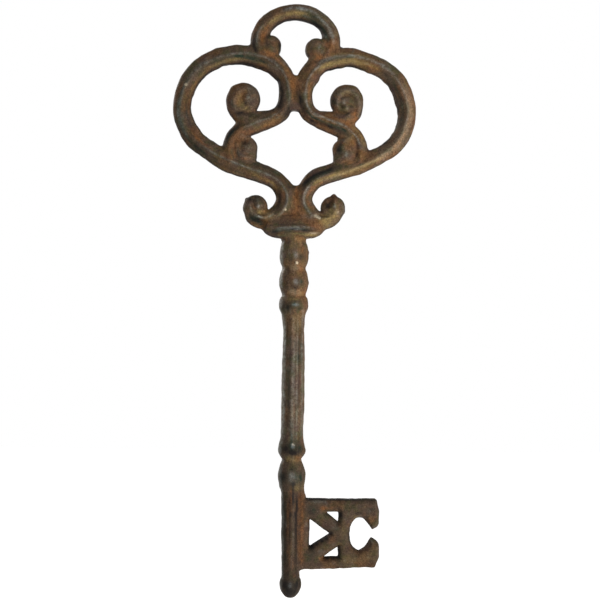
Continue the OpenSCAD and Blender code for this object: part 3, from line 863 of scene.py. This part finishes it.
def slope_at(p):
    g = np.stack([sample(g, p) for g in gradient], axis=1)
    return g / np.maximum(np.linalg.norm(g, axis=1), 1e-6)[:, None], np.linalg.norm(g, axis=1)


for _ in range(2):
    normal, steep = slope_at(points)
    shift = sample(skin.field, points) / np.maximum(steep, 0.1)
    shift = np.where(on_surface, np.clip(shift, -0.5, 0.5), 0)
    points = points - normal * shift[:, None]
normal, _ = slope_at(points)
near_hollow = sample(near_share, points) - 0.5
wide_hollow = sample(wide_share, points) - 0.5
places = np.clip(points * STEP + np.array(GRID_LOW), np.array(cad_low) / MM, np.array(cad_high) / MM)


# Finish: amounts painted on the vertices, the same on the front and the back: rust, wear and dark patches,
# with painted shade and painted highlights among them.
# The numbers are places on the parting plane, so each vertex is taken where it seems to stand there.

nearer = 1 + np.abs(places[:, 1]) / AWAY
px, pz = (m + (places[:, axis] - m) * nearer for axis, m in zip((0, 2), PICTURE_MIDDLE))
on_bit = (px > 6.5) & (pz < STEM_TOP)
SPOT_FALL = 1.6
KNOTS = 96
# Strength of the painted shade on the walls and of the painted grey reflection on the left of the turned
# parts
WALL_DARK = 0.6
RIM_SHEEN = 0.65
# How far the streaks of the rust have run at each vertex, along and across
flow = [pz / np.where(on_bit, 2.0, 5.0), px / np.where(on_bit, 2.0, 1.2)]
on_bow = (pz < -12) & (pz > -106)
along = {}
for path, curve, near in [
        ("left", scrolls["left"], (px < 1) & on_bow), ("right", scrolls["right"], (px > -1) & on_bow),
        ("loop", loop, (pz > -17) & (pz < 10)),
        ("rim", Curve([(*p, 0) for p in RIM]), (pz < -105) & (pz > -112))]:
    offset, carried = curve.near((-1 if path == "right" else 1) * px[near], pz[near])
    along[path] = (near, offset, carried[-1])
    flow[0][near] = carried[-1] * 2.0
    flow[1][near] = offset / 1.2


def spots(rows):
    """Amount at each vertex of the soft patches x, z, radius, amount. A fifth number stretches a
    patch upright by that factor."""
    total = np.zeros(len(px))
    for x, z, radius, amount, *stretch in rows:
        tall = stretch[0] if stretch else 1.0
        total += amount * np.exp(-SPOT_FALL * ((px - x) ** 2 + ((pz - z) / tall) ** 2) / radius ** 2)
    return total


def strokes(path, rows):
    """Amount at each vertex of stripes along a path: first and last station, distance from its
    middle (on a scroll towards the inside of the lobe, on the loop outwards, on the rim up), half
    width, amount."""
    total = np.zeros(len(px))
    near, offset, station = along[path]
    for start, end, middle, half_width, amount in rows:
        ends = smooth(start - 0.4, start + 0.4, station) * smooth(end + 0.4, end - 0.4, station)
        total[near] += amount * ends * np.exp(-((offset - middle) / half_width) ** 2)
    return total


def upright(rows):
    """Amount at each vertex of upright stripes: top, bottom, x, half width, amount."""
    total = np.zeros(len(px))
    for top, bottom, x, half_width, amount in rows:
        ends = smooth(top + 3, top - 3, pz) * smooth(bottom - 3, bottom + 3, pz)
        total += amount * ends * np.exp(-((px - x) / half_width) ** 2)
    return total


def painted(tables):
    """Sum of a colour's tables: stripes along the named paths, spots and upright stripes."""
    kinds = {"spots": spots, "upright": upright}
    return sum(kinds[name](rows) if name in kinds else strokes(name, rows) for name, rows in tables.items())


def wobble(u, v):
    """Smooth seeded noise of two coordinates, with a knot at each whole number."""
    table = rng.standard_normal((KNOTS, KNOTS))
    iu, iv = np.floor(u).astype(int), np.floor(v).astype(int)
    fu, fv = smooth(0, 1, u - iu), smooth(0, 1, v - iv)
    low, high = (
        table[iu % KNOTS, row] * (1 - fu) + table[(iu + 1) % KNOTS, row] * fu
        for row in (iv % KNOTS, (iv + 1) % KNOTS))
    return low * (1 - fv) + high * fv


def streaked(amount, extra):
    """A painted amount broken up by streaks that run along the bars and down the shank, with thin
    streaks of it elsewhere."""
    lines = wobble(*flow) + 0.6 * wobble(2.3 * flow[0], 1.9 * flow[1])
    return np.clip(amount * (0.92 + 0.15 * lines), 0, 1.2) + extra * np.clip(lines - 0.7, 0, 1.5)


gold = painted({
    "left": [
        (11.8, 13.8, 1.5, 0.8, 0.9), (10.2, 11.8, 2, 0.5, 0.35), (13.8, 15.4, 2.4, 0.8, 0.3),
        (21, 22.4, -1.4, 0.8, 0.6), (3.6, 6, -1.8, 1.1, 0.35), (25.4, 27.6, -3.4, 1.4, 0.5)],
    "right": [
        (9.8, 12.6, 2.2, 1.2, 1.1), (12.6, 13.6, 1.8, 0.8, 0.8), (19, 20.7, -2.2, 0.8, 1.1),
        (20.7, 22, -1.2, 0.9, 1), (26, 28, -1, 2.2, 0.6), (1, 2.6, 3.4, 1, 0.5), (11, 13, -1.4, 0.9, 0.5)],
    "loop": [
        (3.2, 5.8, -0.6, 1.1, 1), (4.6, 5.4, -0.2, 0.7, 0.6)],
    "rim": [
        (2.8, 4.6, -2.6, 0.5, 0.9)],
    "spots": [
        (-28.5, -41.5, 2, 0.7, 2), (-25, -45.6, 2.4, 0.6), (27, -37, 4, 0.4, 0.7), (28.5, -60.5, 3, 0.6),
        (9, -110.8, 5, 0.9, 0.35), (17, -104.5, 3, 0.8), (-17.6, -98.6, 1.8, 0.8), (-12, -101.5, 3, 0.6),
        (-1.1, -116.4, 1.8, 0.6), (4.1, -141, 1.6, 0.6), (0, -144, 4, 0.6, 0.25),
        (2.2, -157, 2.6, 0.35, 1.6), (3.8, -152.4, 2.2, 0.35), (0.5, -153.2, 2.6, 0.4),
        (1.5, -226.4, 3.2, 0.6), (1, -112.6, 4, 0.3), (3.2, -241.3, 2.2, 0.7), (-1.6, -226.4, 1.8, 0.6),
        (30, -278, 6, 0.5, 0.6), (40, -276, 4, 0.5, 0.6), (33.5, -256, 1.4, 0.6), (27, -262, 1.6, 0.4, 3),
        (20, -101, 4, 0.4)],
})
green = painted({
    "left": [
        (10, 12.2, 0.4, 1.3, 1), (12.2, 14.4, -0.1, 0.8, 0.8), (15.3, 19, -1.8, 1.4, 0.9),
        (26.2, 27.4, 1.5, 1.2, 1), (1.2, 2.8, 2.5, 1.2, 0.8), (18, 20.5, 0.6, 0.6, 0.5),
        (20.8, 23, 4.2, 0.8, 0.8), (7, 9, -1.2, 0.6, 0.5)],
    "right": [
        (2.6, 7.4, -0.4, 0.9, 1), (14, 17, 2.2, 1.2, 0.6), (20.8, 22.8, 1.6, 1, 1), (9, 12, 0.2, 0.5, 0.6),
        (18.3, 20.7, -0.9, 0.5, 0.6)],
    "loop": [
        (5.7, 8.4, -1.8, 1.5, 1.1), (5.8, 7, 0.4, 1.2, 0.6), (0.5, 1.6, 1.5, 1.5, 0.5)],
    "rim": [
        (0.9, 4.5, -0.2, 1, 0.8)],
    "spots": [
        (-1.5, -122.5, 2.6, 0.7), (4, -122, 2, 0.7), (3, -135, 3.6, 1, 0.8), (-3, -148.4, 3.2, 0.9),
        (1, -146.5, 3.6, 1, 0.6), (0.6, -219.8, 4.2, 1.3), (-4.6, -220.8, 2.2, 0.8), (4.6, -220.4, 2, 0.7),
        (0.8, -236, 5, 0.8), (-4.8, -236, 1.8, 0.8, 2.2), (5.2, -236, 1.8, 0.7, 2.2), (0, -292, 5, 0.7),
        (23.3, -67, 2.4, 1, 1.4), (26.6, -68.8, 1.6, 0.6), (-26.8, -64.5, 2, 0.7), (-18.5, -92.6, 2, 0.8),
        (-20, -102, 4, 1, 0.5), (11, -252, 4, 0.6), (11, -275, 3.4, 0.6), (22, -263, 3, 0.5),
        (3, -110.6, 8, 0.5, 0.2)],
    "upright": [
        (-176, -204, -2, 0.5, 0.6), (-156, -176, 3.2, 0.6, 0.5), (-155, -176, 4.6, 0.8, 0.6),
        (-206, -216, -0.2, 1, 0.6), (-248, -280, -2.8, 0.8, 0.6), (-244, -288, -4.6, 1, 0.9)],
})
orange = painted({
    "left": [
        (14.4, 15.3, 2.6, 1, 0.8), (17.6, 18.8, 2.2, 0.9, 0.6), (15.4, 16.4, 3.4, 0.7, 0.5),
        (2.8, 5.5, -2.4, 1.3, 0.7), (0.3, 2.8, -3, 0.7, 0.8), (7.5, 10.8, -4, 1.1, 0.8),
        (21, 22.3, -1.4, 0.7, 0.8), (10, 13, 3.6, 0.7, 0.5)],
    "right": [
        (12.8, 13.8, 2.2, 0.8, 1.1), (2.6, 4, 3.6, 1, 0.8), (7.2, 8.8, 3, 0.9, 0.8),
        (15.5, 19.5, -1.8, 1.2, 0.6), (22.8, 25, 3.2, 2, 0.7), (5.1, 5.8, -1.4, 0.6, 1),
        (9.6, 11, -2.4, 1.1, 0.8), (21.6, 25, -2.4, 0.8, 0.7), (10, 11.6, 4.2, 0.6, 0.5)],
    "loop": [
        (1.2, 3.2, -1.4, 1.4, 1.1), (8.4, 9.6, 0.4, 1.6, 0.8), (3.8, 6.2, -3.4, 0.7, 0.6)],
    "spots": [
        (-11, -17, 4, 0.65, 0.5), (11.7, -18.9, 2.4, 0.9), (16.6, -12.9, 2, 0.7), (0, -33, 2.2, 0.5, 2.4),
        (-27, -39.4, 1.5, 0.5, 1.6), (-28.8, -42.8, 1.6, 0.6, 2), (31.5, -47.5, 2.4, 0.9),
        (31.5, -51, 2.4, 0.7), (30, -62.8, 2.2, 1), (27.5, -65, 3, 0.7), (-28.8, -63, 1.6, 1, 1.8),
        (-25, -71.5, 3, 1, 0.5), (27.5, -73, 4, 0.9, 0.4), (34, -67, 2, 0.7), (-14.5, -99.7, 3, 0.8),
        (-13.5, -104.8, 2.2, 0.9), (13, -104, 4, 0.8), (2.6, -112, 3.4, 1.1), (0, -101, 7, 0.5, 0.5),
        (4.3, -118, 2.4, 0.8), (3.6, -127.8, 2.8, 1), (2.4, -140.9, 4, 1.1, 0.6), (4.8, -150.8, 1.5, 0.7),
        (3, -225.7, 2.2, 1.2), (2.3, -286.2, 1.6, 0.8), (16.8, -251.4, 2.2, 1.2, 0.7),
        (21, -251.2, 2, 0.7, 0.6), (16.3, -277.6, 2.2, 1.2, 0.7), (41.5, -257.5, 3, 0.6),
        (43.2, -271, 2, 0.5, 1.5), (22, -266, 2, 0.5, 2), (33, -279.5, 4, 0.5, 0.3)],
    "upright": [
        (-243, -280, 5.2, 1.8, 1.1), (-248, -264, -1.7, 0.7, 0.5), (-170, -212, 4.4, 0.7, 0.15),
        (-246, -284, 0.4, 2.6, 0.4), (-88, -103, 1.4, 1.6, 0.5), (-241, -250, 0, 0.6, 0.7)],
})
# Grey: rubbed grey, with painted highlights along the crests, painted glints and painted light strips down
# the shank
grey = painted({
    "left": [
        (7, 9.5, -1.7, 0.6, 0.6), (9.5, 13.6, -1.5, 0.6, 0.6), (13.6, 17.5, -1.8, 1, 0.5),
        (18.6, 21, 0.9, 0.5, 0.6), (21, 25, 1.4, 0.6, 0.6), (25.4, 27, -1.3, 0.5, 0.8),
        (3, 6, 0.7, 0.5, 0.5)],
    "right": [
        (1, 2.6, 1.1, 0.5, 0.8), (2.6, 5.5, 1.8, 0.5, 0.9), (5, 8, 1.3, 0.6, 0.8), (8, 10, 0.8, 0.5, 0.8),
        (10, 14.4, -0.6, 0.8, 0.7), (14.5, 17.5, -0.6, 0.5, 0.5), (22.6, 25, -0.3, 0.6, 1)],
    "loop": [
        (4.4, 6.2, 2.2, 0.8, 1), (1.2, 2.8, 1.6, 0.7, 0.7), (6.4, 8.6, 1.2, 0.8, 0.9)],
    "rim": [
        (1.4, 4.2, 1.1, 0.4, 0.7), (1.8, 3.8, 0, 0.7, 0.5)],
    "spots": [
        (-23.5, -40.6, 2.2, 0.35), (25.2, -42, 1.4, 0.6), (-18.2, -96.2, 1, 1, 1.5),
        (21, -95.8, 0.9, 0.9, 1.6), (26.8, -68.8, 1.4, 0.6), (12.4, -14, 1, 0.7),
        (0.4, -236, 2.2, 0.9, 1.5), (15, -248, 7, 0.6, 0.16), (7.5, -101, 5, 0.4, 0.3),
        (0.3, -107.5, 4, 0.9, 0.22), (-6, -108, 4, 0.5, 0.22)],
    "upright": [
        (-154, -180, 0.6, 1.9, 0.35), (-178, -216, 0.4, 1.5, 0.45), (-154, -216, 2.6, 0.3, 0.4),
        (-154, -216, -3.9, 0.7, 0.5), (-150, -214, 5.2, 0.6, 0.5), (-246, -280, 1.2, 0.8, 0.25)],
})
# Pale: painted highlights, such as the glints on the knops and the bell and the painted light along the right
# lobe, with some pale marks
pale = painted({
    "right": [
        (15, 19.2, -1.6, 1.6, 0.25), (19, 21.6, -1.9, 0.6, 0.15)],
    "spots": [
        (11.3, -100.7, 0.7, 2.5), (12.3, -101.2, 0.75, 2.7), (13.3, -101.8, 0.65, 2.4),
        (-4.2, -97.7, 0.5, 2.2), (-56.2, -33.7, 0.7, 3), (0.9, -218.8, 0.7, 1.2),
        (1.4, -127.9, 3.4, 0.22, 0.6), (1.4, -140.6, 3.4, 0.22, 0.6), (27.2, -45.4, 0.6, 0.5),
        (22.6, -98.8, 1, 0.5), (1.9, -125.1, 0.6, 3.4), (10.4, -109.8, 3.4, 0.6, 0.2)],
})
shade = painted({
    "left": [
        (1, 2.8, 3, 1, 0.8), (6.2, 9, 2.2, 1.3, 0.9), (5.9, 7.1, -2.6, 1.3, 0.8), (10, 14.5, 3.9, 0.7, 0.6),
        (17.8, 19.4, -1.6, 1.4, 0.45), (15.4, 17.6, 2.4, 1.3, 0.35), (22.6, 24.8, -2.2, 1.3, 0.9),
        (9.6, 12, 3.4, 1, 0.5), (19.3, 20.6, -3, 0.9, 0.4), (26.3, 27.3, 1.5, 1.2, 0.45),
        (4, 6.5, 3.6, 0.7, 0.5)],
    "right": [
        (2.6, 5, -1.6, 1, 0.9), (5.9, 7.4, -1.4, 1.3, 1), (5, 5.9, -2.4, 0.6, 0.8),
        (14.5, 17.4, 4.4, 0.8, 0.6), (13.6, 17, 2, 1.4, 0.3), (20.8, 22.8, 2.4, 1.1, 1),
        (10, 13, 4.9, 0.7, 0.55), (7.6, 10, -3.2, 1.2, 0.6), (17.8, 18.6, 3.4, 1, 0.8)],
    "rim": [
        (0.9, 4.4, -0.3, 0.9, 0.5), (0.9, 4.4, -1.9, 0.4, 0.3)],
    "loop": [
        (6.2, 8.2, -2.4, 1, 0.8), (0.4, 1.8, 3, 1, 0.8), (3.6, 6.6, -3.7, 0.6, 0.7)],
    "spots": [
        (25.9, -254.8, 1.1, 0.9, 2.4), (20.9, -264.1, 1.3, 0.8), (11, -271.2, 1.3, 0.7),
        (13.5, -269.8, 1.2, 0.7), (16, -268.4, 1.2, 0.7), (18.4, -266.9, 1.2, 0.7), (19, -277.3, 1.2, 0.6),
        (22, -277.3, 1.2, 0.7), (24.8, -276.6, 1.2, 0.8), (25.2, -273.6, 1, 0.8, 1.8),
        (22.4, -251.5, 1, 0.5), (24.8, -251.7, 1, 0.7), (-2.4, -148.4, 2.6, 0.6), (0.6, -222.4, 3, 0.6),
        (-33.6, -43, 1.6, 0.5, 2.8), (-29.2, -48.4, 3, 0.8, 0.5), (-24, -48.6, 4, 0.6, 0.3),
        (-25.2, -43.2, 0.8, 0.5, 2), (19.8, -42, 1.8, 0.8, 2.4), (24.5, -44.8, 1, 0.7),
        (28.9, -44.4, 1, 0.6), (-25.2, -63.4, 1.7, 0.65), (22.6, -66.4, 1.5, 1, 2),
        (32.2, -69, 0.8, 0.9, 2.4), (-22.4, -93, 1.8, 0.7), (17.6, -95.6, 2, 0.8),
        (-19, -103, 3.5, 0.4, 0.35), (7.9, -15.2, 2, 0.9, 1.4), (-14.4, -12.8, 1, 0.5, 2.4),
        (-8.3, -13.4, 1, 0.9, 2), (2.8, -40.5, 1.2, 1, 2.6), (0, -86.2, 4, 0.8, 0.3),
        (-10, -109.3, 2.4, 0.5, 0.5), (0, -107.7, 8, 0.4, 0.18), (9, -108.2, 4, 0.4, 0.22),
        (-9, -112.4, 3, 0.3, 0.5), (4.2, -122.4, 1.8, 0.4), (-0.8, -123.5, 1.4, 0.7),
        (-2.9, -128, 1.8, 0.35, 1.8), (1.2, -137.7, 2, 0.9, 0.6), (-3.2, -136, 1.2, 0.6, 4),
        (-3.2, -147, 2.8, 0.55, 0.9), (3.8, -148.4, 1.4, 0.7), (0.6, -144.7, 4, 0.7, 0.15),
        (-3, -221, 2, 0.9, 1.3), (0.8, -223, 2.4, 1, 0.5), (4.4, -221.6, 1.8, 0.5),
        (-4, -235.6, 2, 0.8, 1.6), (1, -239, 2, 0.8, 0.8), (0.8, -231.6, 1.6, 0.5), (-2.5, -291, 2.4, 0.8),
        (0, -295, 3, 0.8), (3, -291, 1.6, 0.6, 1.5), (1, -125.1, 0.5, 1.4)],
    "upright": [
        (-154, -215, -2.4, 0.7, 0.5), (-180, -215, -1.4, 0.6, 0.2), (-165, -200, 3.4, 0.6, 0.5),
        (-154, -216, 1.9, 0.3, 0.5), (-158, -205, 4.6, 0.9, 0.3), (-246, -282, 2.9, 0.45, 0.4),
        (-246, -270, -0.6, 0.5, 0.4), (-240, -250, 1, 0.6, 0.6)],
})
# Painted shade: darker below the shank, on the left half of the bow and on the walls of bars and openings.
# The left-facing side of the turned parts gets a painted grey reflection instead.
lower = 0.015 + smooth(-208, -222, pz) * 0.31 + smooth(-238, -248, pz) * (0.05 + 0.21 * (np.abs(px) < 5.5))
lower += 0.16 * smooth(3, -4, px) * smooth(-100, -90, pz)
turned = smooth(-111, -114, pz) * smooth(9, 7, np.abs(px))
walls = smooth(0.75, 0.2, np.abs(normal[:, 1])) * (WALL_DARK - 0.3 * smooth(28, 46, px)) * (1 - turned)
# Painted reflection: a grey sheen down the left-facing side of the turned parts, which also lowers the
# roughness there
rim = smooth(-0.66, -0.86, normal[:, 0]) * turned * RIM_SHEEN
# Painted shade in the carved grooves and painted highlight on the carved ridges
carved = skin.relief[tuple(np.rint(points[:, axis]).astype(int) for axis in (0, 2))]
grey += 0.35 * np.clip(carved, 0, 1)
shade += 0.4 * np.clip(-carved, 0, 1)
gold = streaked(gold, 0.15)
green = streaked(green, 0.25)
orange = streaked(orange, 0.25)
grey = streaked(grey, 0.15) + rim
shade = streaked(shade, 0.2)
dark = np.clip(walls + shade * 0.8 + lower, 0, 0.95)
crest = smooth(0.05, 0.2, -near_hollow)
valley = smooth(-0.02, 0.14, wide_hollow)
# Spots rubbed smooth, where the light glints: they lower the roughness and carry a painted highlight, a pale
# glint colour
polish_and_glint = spots([
    (1.3, -121, 1.8, 0.8, 1.6), (1.4, -134.7, 1.9, 0.9, 1.2), (1.3, -146.7, 2.6, 1, 0.4),
    (-1.2, -107.2, 1, 1, 0.6), (1.4, -107.9, 1.6, 0.7, 0.4), (0.7, -219.4, 1.3, 1.3, 1.3),
    (0.5, -235, 2.6, 0.4, 1.5), (-0.1, -291.2, 1.5, 0.6, 1.6), (3.4, 5.6, 2.4, 0.8, 0.4),
    (-18.2, -96, 1, 0.6)])
polish_and_glint += 0.2 * rim
paint = np.column_stack([crest, valley, dark])
tint = np.column_stack([gold, green, orange])
wear_and_highlights = np.column_stack([grey, pale, polish_and_glint])


# Materials

# Roughness of the bare rust, how far rubbing can lower it, and the strength and depth of the grit
MATT = 0.68
MOST_SMOOTHER = 0.46
BUMP = 0.6
BUMP_MM = 0.3


def colour(code):
    """Linear colour of a hex code."""
    parts = [int(code[i:i + 2], 16) / 255 for i in (0, 2, 4)]
    return [p / 12.92 if p <= 0.04045 else ((p + 0.055) / 1.055) ** 2.4 for p in parts] + [1.0]


class Tree:
    """Short way to write a node tree."""

    def __init__(self, tree):
        self.tree = tree

    def put(self, socket, value):
        """Links or sets one input."""
        if isinstance(value, bpy.types.NodeSocket):
            self.tree.links.new(value, socket)
        else:
            socket.default_value = value

    def new(self, kind):
        return self.tree.nodes.new("ShaderNode" + kind)

    def filled(self, made, inputs, output=0):
        """Links or sets a node's inputs, and gives one of its outputs."""
        for name, value in inputs.items():
            self.put(made.inputs[name], value)
        return made.outputs[output]

    def noise(self, vector, scale, detail, roughness, distortion=0.0):
        return self.filled(self.new("TexNoise"), {
            "Vector": vector, "Scale": scale, "Detail": detail, "Roughness": roughness,
            "Distortion": distortion})

    def ramp(self, factor, low, high, top=1.0, bottom=0.0):
        """Soft step from bottom at low to top at high."""
        made = self.new("MapRange")
        made.interpolation_type = "SMOOTHSTEP"
        return self.filled(made, {
            "Value": factor, "From Min": low, "From Max": high, "To Min": bottom, "To Max": top})

    def mix(self, factor, a, b):
        made = self.new("Mix")
        made.data_type = "RGBA"
        return self.filled(made, {0: factor, 6: a, 7: b}, 2)

    def scaled(self, surface, factor):
        """A colour made lighter or darker."""
        made = self.new("VectorMath")
        made.operation = "SCALE"
        return self.filled(made, {0: surface, "Scale": factor})

    def maths(self, operation, a, b):
        made = self.new("Math")
        made.operation = operation
        made.use_clamp = True
        return self.filled(made, {0: a, 1: b})

    def amounts(self, name):
        """The three amounts painted on the vertices under that name."""
        made = self.new("Attribute")
        made.attribute_name = name
        parts = self.new("SeparateXYZ")
        self.put(parts.inputs[0], made.outputs["Vector"])
        return parts.outputs


def new_material(name):
    """Material, its tree and the inputs of its shader."""
    material = bpy.data.materials.new(name)
    material.use_nodes = True
    return material, Tree(material.node_tree), material.node_tree.nodes["Principled BSDF"].inputs


def iron(name, warm, gloss):
    """Old cast iron: brown rust over grey, orange in the hollows, rubbed grey-green on the crests, with
    painted highlights, painted glints and painted shade.
    """
    material, t, shader = new_material(name)
    place = t.new("TexCoord").outputs["Object"]
    crest_in, valley_in, dark_in = t.amounts("paint")
    gold_in, green_in, orange_in = t.amounts("tint")
    grey_in, pale_in, polish_and_glint_in = t.amounts("wear_and_highlights")
    broad = t.noise(place, 75, 2.0, 0.5)
    patch = t.noise(place, 210, 3.0, 0.55, 0.6)
    blotch = t.noise(place, 480, 3.0, 0.6, 0.4)
    fine = t.noise(place, 1300, 4.0, 0.7)
    grit = t.noise(place, 3000, 2.0, 0.6)

    def worn(amount, noise, most=0.95):
        """A painted amount, thinned here and there by noise."""
        return t.maths("MULTIPLY", amount, t.ramp(noise, 0.34, 0.56, most, 0.55 * most))

    surface = t.mix(t.ramp(blotch, 0.34, 0.66), colour("4d3f32"), colour("5c4b3b"))
    for noise, low, high, top, code in (
            (broad, 0.42, 0.62, 0.6, "5a4a3e"), (patch, 0.48, 0.66, 0.65, "47462c"),
            (patch, 0.44, 0.3, 0.6, "513b38")):
        surface = t.mix(t.ramp(noise, low, high, top), surface, colour(code))
    rust = t.mix(t.ramp(blotch, 0.3, 0.7), colour("674424"), colour("835939"))
    surface = t.mix(t.maths("MULTIPLY", valley_in, 0.4), surface, rust)
    surface = t.mix(t.ramp(broad, 0.5, 0.38, warm), surface, rust)
    surface = t.mix(worn(orange_in, blotch), surface, rust)
    surface = t.mix(worn(gold_in, blotch), surface, colour("837048"))
    surface = t.mix(worn(green_in, blotch), surface, colour("293328"))
    # Pale marks and painted highlights
    surface = t.mix(worn(pale_in, fine, 1.0), surface, colour("b4a68e"))
    # Grey of rubbed metal and of the painted highlights
    grey = t.mix(t.ramp(blotch, 0.35, 0.65), colour("60605a"), colour("868982"))
    crests = t.maths("MULTIPLY", crest_in, t.ramp(blotch, 0.42, 0.6, 0.35))
    rubbed_and_highlit = t.maths("MAXIMUM", crests, worn(grey_in, blotch, 0.7))
    surface = t.mix(rubbed_and_highlit, surface, grey)
    # Painted shade and dark patches
    surface = t.mix(dark_in, surface, colour("181515"))
    surface = t.scaled(surface, t.ramp(fine, 0.25, 0.75, 1.36, 0.66))
    surface = t.scaled(surface, t.ramp(grit, 0.25, 0.75, 1.45, 0.6))
    # Painted highlight: a pale blue-grey glint colour on the polished spots
    glint = t.maths("MULTIPLY", t.ramp(polish_and_glint_in, 0.1, 1.2, 0.75), t.ramp(fine, 0.36, 0.56, 0.5))
    t.put(shader["Base Color"], t.mix(glint, surface, colour("8e989c")))
    smoother = t.maths("ADD", t.maths("MULTIPLY", rubbed_and_highlit, gloss), t.maths("MULTIPLY", polish_and_glint_in, 0.45))
    t.put(shader["Roughness"], t.maths("SUBTRACT", MATT, t.maths("MINIMUM", smoother, MOST_SMOOTHER)))
    t.put(shader["Specular IOR Level"], t.maths("ADD", t.maths("MULTIPLY", smoother, 0.6), 0.07))
    grains = t.maths("ADD", t.maths("MULTIPLY", fine, 0.7), t.maths("MULTIPLY", grit, 0.3))
    bump = t.filled(t.new("Bump"), {"Strength": BUMP, "Distance": BUMP_MM * MM, "Height": grains})
    t.put(shader["Normal"], bump)
    return material


SLOTS = {
    "rusted_iron": ["left_inner_scroll", "right_inner_scroll", "left_inner_volute", "right_inner_volute",
                    "left_lower_curl", "right_lower_curl", "lobe_web", "neck_web"],
    "dark_iron": ["upper_baluster", "lower_baluster", "tip_ball"],
}
slot_of = {node: slot for slot, nodes in SLOTS.items() for node in nodes}
# How much rust shows in the broad patches, and how much gloss on what is rubbed or carries painted highlights
materials = {name: iron(name, warm, gloss) for name, warm, gloss in (
    ("cast_iron", 0.35, 0.25), ("rusted_iron", 0.5, 0.22), ("dark_iron", 0.25, 0.32))}


# Pieces

def add_object(name, data):
    made = bpy.data.objects.new(name, data)
    bpy.context.scene.collection.objects.link(made)
    return made


def make_piece(node):
    """Closed mesh of one member, with the skin's own normals where it shows."""
    rows = faces[NUMBER[node]]
    quads = rows[:, :4].astype(int)
    shown = rows[:, 4] > 0
    used, index = np.unique(quads, return_inverse=True)
    index = index.reshape(quads.shape)
    mesh = bpy.data.meshes.new(node + "_iron")
    mesh.vertices.add(len(used))
    mesh.vertices.foreach_set("co", (places[used] * MM).astype(np.float32).ravel())
    mesh.loops.add(index.size)
    mesh.loops.foreach_set("vertex_index", index.astype(np.int32).ravel())
    mesh.polygons.add(len(index))
    mesh.polygons.foreach_set("loop_start", np.arange(0, index.size, 4, dtype=np.int32))
    mesh.update(calc_edges=True)
    mesh.polygons.foreach_set("use_smooth", np.ones(len(index), bool))
    mesh.validate()
    flat = np.empty(len(index) * 3)
    mesh.polygons.foreach_get("normal", flat)
    flat = np.repeat(flat.reshape(-1, 1, 3), 4, axis=1)
    mine = normal[used][index]
    mesh.normals_split_custom_set(np.where(shown[:, None, None], mine, flat).reshape(-1, 3))
    for name, values in (("paint", paint), ("tint", tint), ("wear_and_highlights", wear_and_highlights)):
        layer = mesh.attributes.new(name, "FLOAT_VECTOR", "POINT")
        layer.data.foreach_set("vector", values[used].astype(np.float32).ravel())
    piece = add_object(node + "_iron", mesh)
    slot = slot_of.get(node, "cast_iron")
    mesh.materials.append(materials[slot])
    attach(piece, "root")
    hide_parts(node)


for node in NODES:
    make_piece(node)


# Floor, light and camera

FLOOR_Z = -0.62
FLOOR_GLOW = 0.86
WORLD_LIGHT = 0.15
SENSOR_MM = 36
# Lamps: place, size and power, in metres and watts, and colour. All of them aim at the middle.
LAMPS = {
    "key_light": ((0.65, -0.50, -0.46), 0.35, 7.9, (1.0, 0.95, 0.87)),
    "edge_light": ((-0.60, 0.42, 0.25), 0.30, 5.2, (1.0, 0.98, 0.95)),
    "top_light": ((-0.15, -0.45, 0.60), 0.50, 1.3, (0.90, 0.95, 1.0)),
    "front_light": ((0.03, -0.80, -0.06), 0.10, 1.0, (0.93, 0.97, 1.0)),
    "back_light": ((0.10, 0.85, -0.20), 0.40, 3.6, (1.0, 0.97, 0.92)),
}
LIT_MIDDLE = Vector((0, 0, -0.12))


def seen_ray(t):
    """1 for what the eye sees, also in a reflection, and 0 for light that falls on things."""
    path = t.new("LightPath").outputs
    seen = t.maths("MAXIMUM", path["Is Camera Ray"], path["Is Glossy Ray"])
    return t.maths("MAXIMUM", seen, path["Is Transmission Ray"])


def pale_floor():
    """Pale floor, lifted for the eye so that it is white where nothing shades it."""
    material, t, shader = new_material("floor_paint")
    t.put(shader["Base Color"], colour("f4f3f0"))
    t.put(shader["Roughness"], 0.9)
    t.put(shader["Emission Color"], (1, 1, 1, 1))
    t.put(shader["Emission Strength"], t.maths("MULTIPLY", seen_ray(t), FLOOR_GLOW))
    mesh = bpy.data.meshes.new("floor")
    corners = [(x, y, FLOOR_Z) for x, y in ((-2, -2), (2, -2), (2, 2), (-2, 2))]
    mesh.from_pydata(corners, [], [(0, 1, 2, 3)])
    mesh.materials.append(material)
    add_object("floor", mesh)


def lamp(name, at, size, watts, light_colour):
    data = bpy.data.lights.new(name, "AREA")
    data.size = size
    data.energy = watts
    data.color = light_colour
    made = add_object(name, data)
    made.location = at
    made.rotation_euler = (LIT_MIDDLE - Vector(at)).to_track_quat("-Z", "Y").to_euler()
    made.visible_camera = False


def light_world():
    """White to the eye and in reflections, and dimmer as light on the iron."""
    world = bpy.data.worlds.new("studio")
    bpy.context.scene.world = world
    world.use_nodes = True
    t = Tree(world.node_tree)
    back = t.tree.nodes["Background"].inputs
    strength = t.filled(t.new("MapRange"), {"Value": seen_ray(t), "To Min": WORLD_LIGHT})
    t.put(back["Strength"], strength)
    t.put(back["Color"], (1, 1, 1, 1))


pale_floor()
for name, settings in LAMPS.items():
    lamp(name, *settings)
light_world()

camera_data = bpy.data.cameras.new("camera")
camera = add_object("camera", camera_data)
bpy.context.scene.camera = camera
right, down = (PHOTO_MM * (PHOTO_SIDE / 2 - pixel) for pixel in ORIGIN_PIXEL)
centre = Matrix.Rotation(-ROLL, 3, "Y") @ Vector((right, 0, -down))
camera.location = (centre.x * MM, -AWAY * MM, centre.z * MM)
camera.rotation_euler = (math.pi / 2, -ROLL, 0)
camera_data.sensor_width = SENSOR_MM
camera_data.lens = SENSOR_MM * AWAY / (PHOTO_SIDE * PHOTO_MM)
bpy.context.scene.view_settings.view_transform = "Standard"
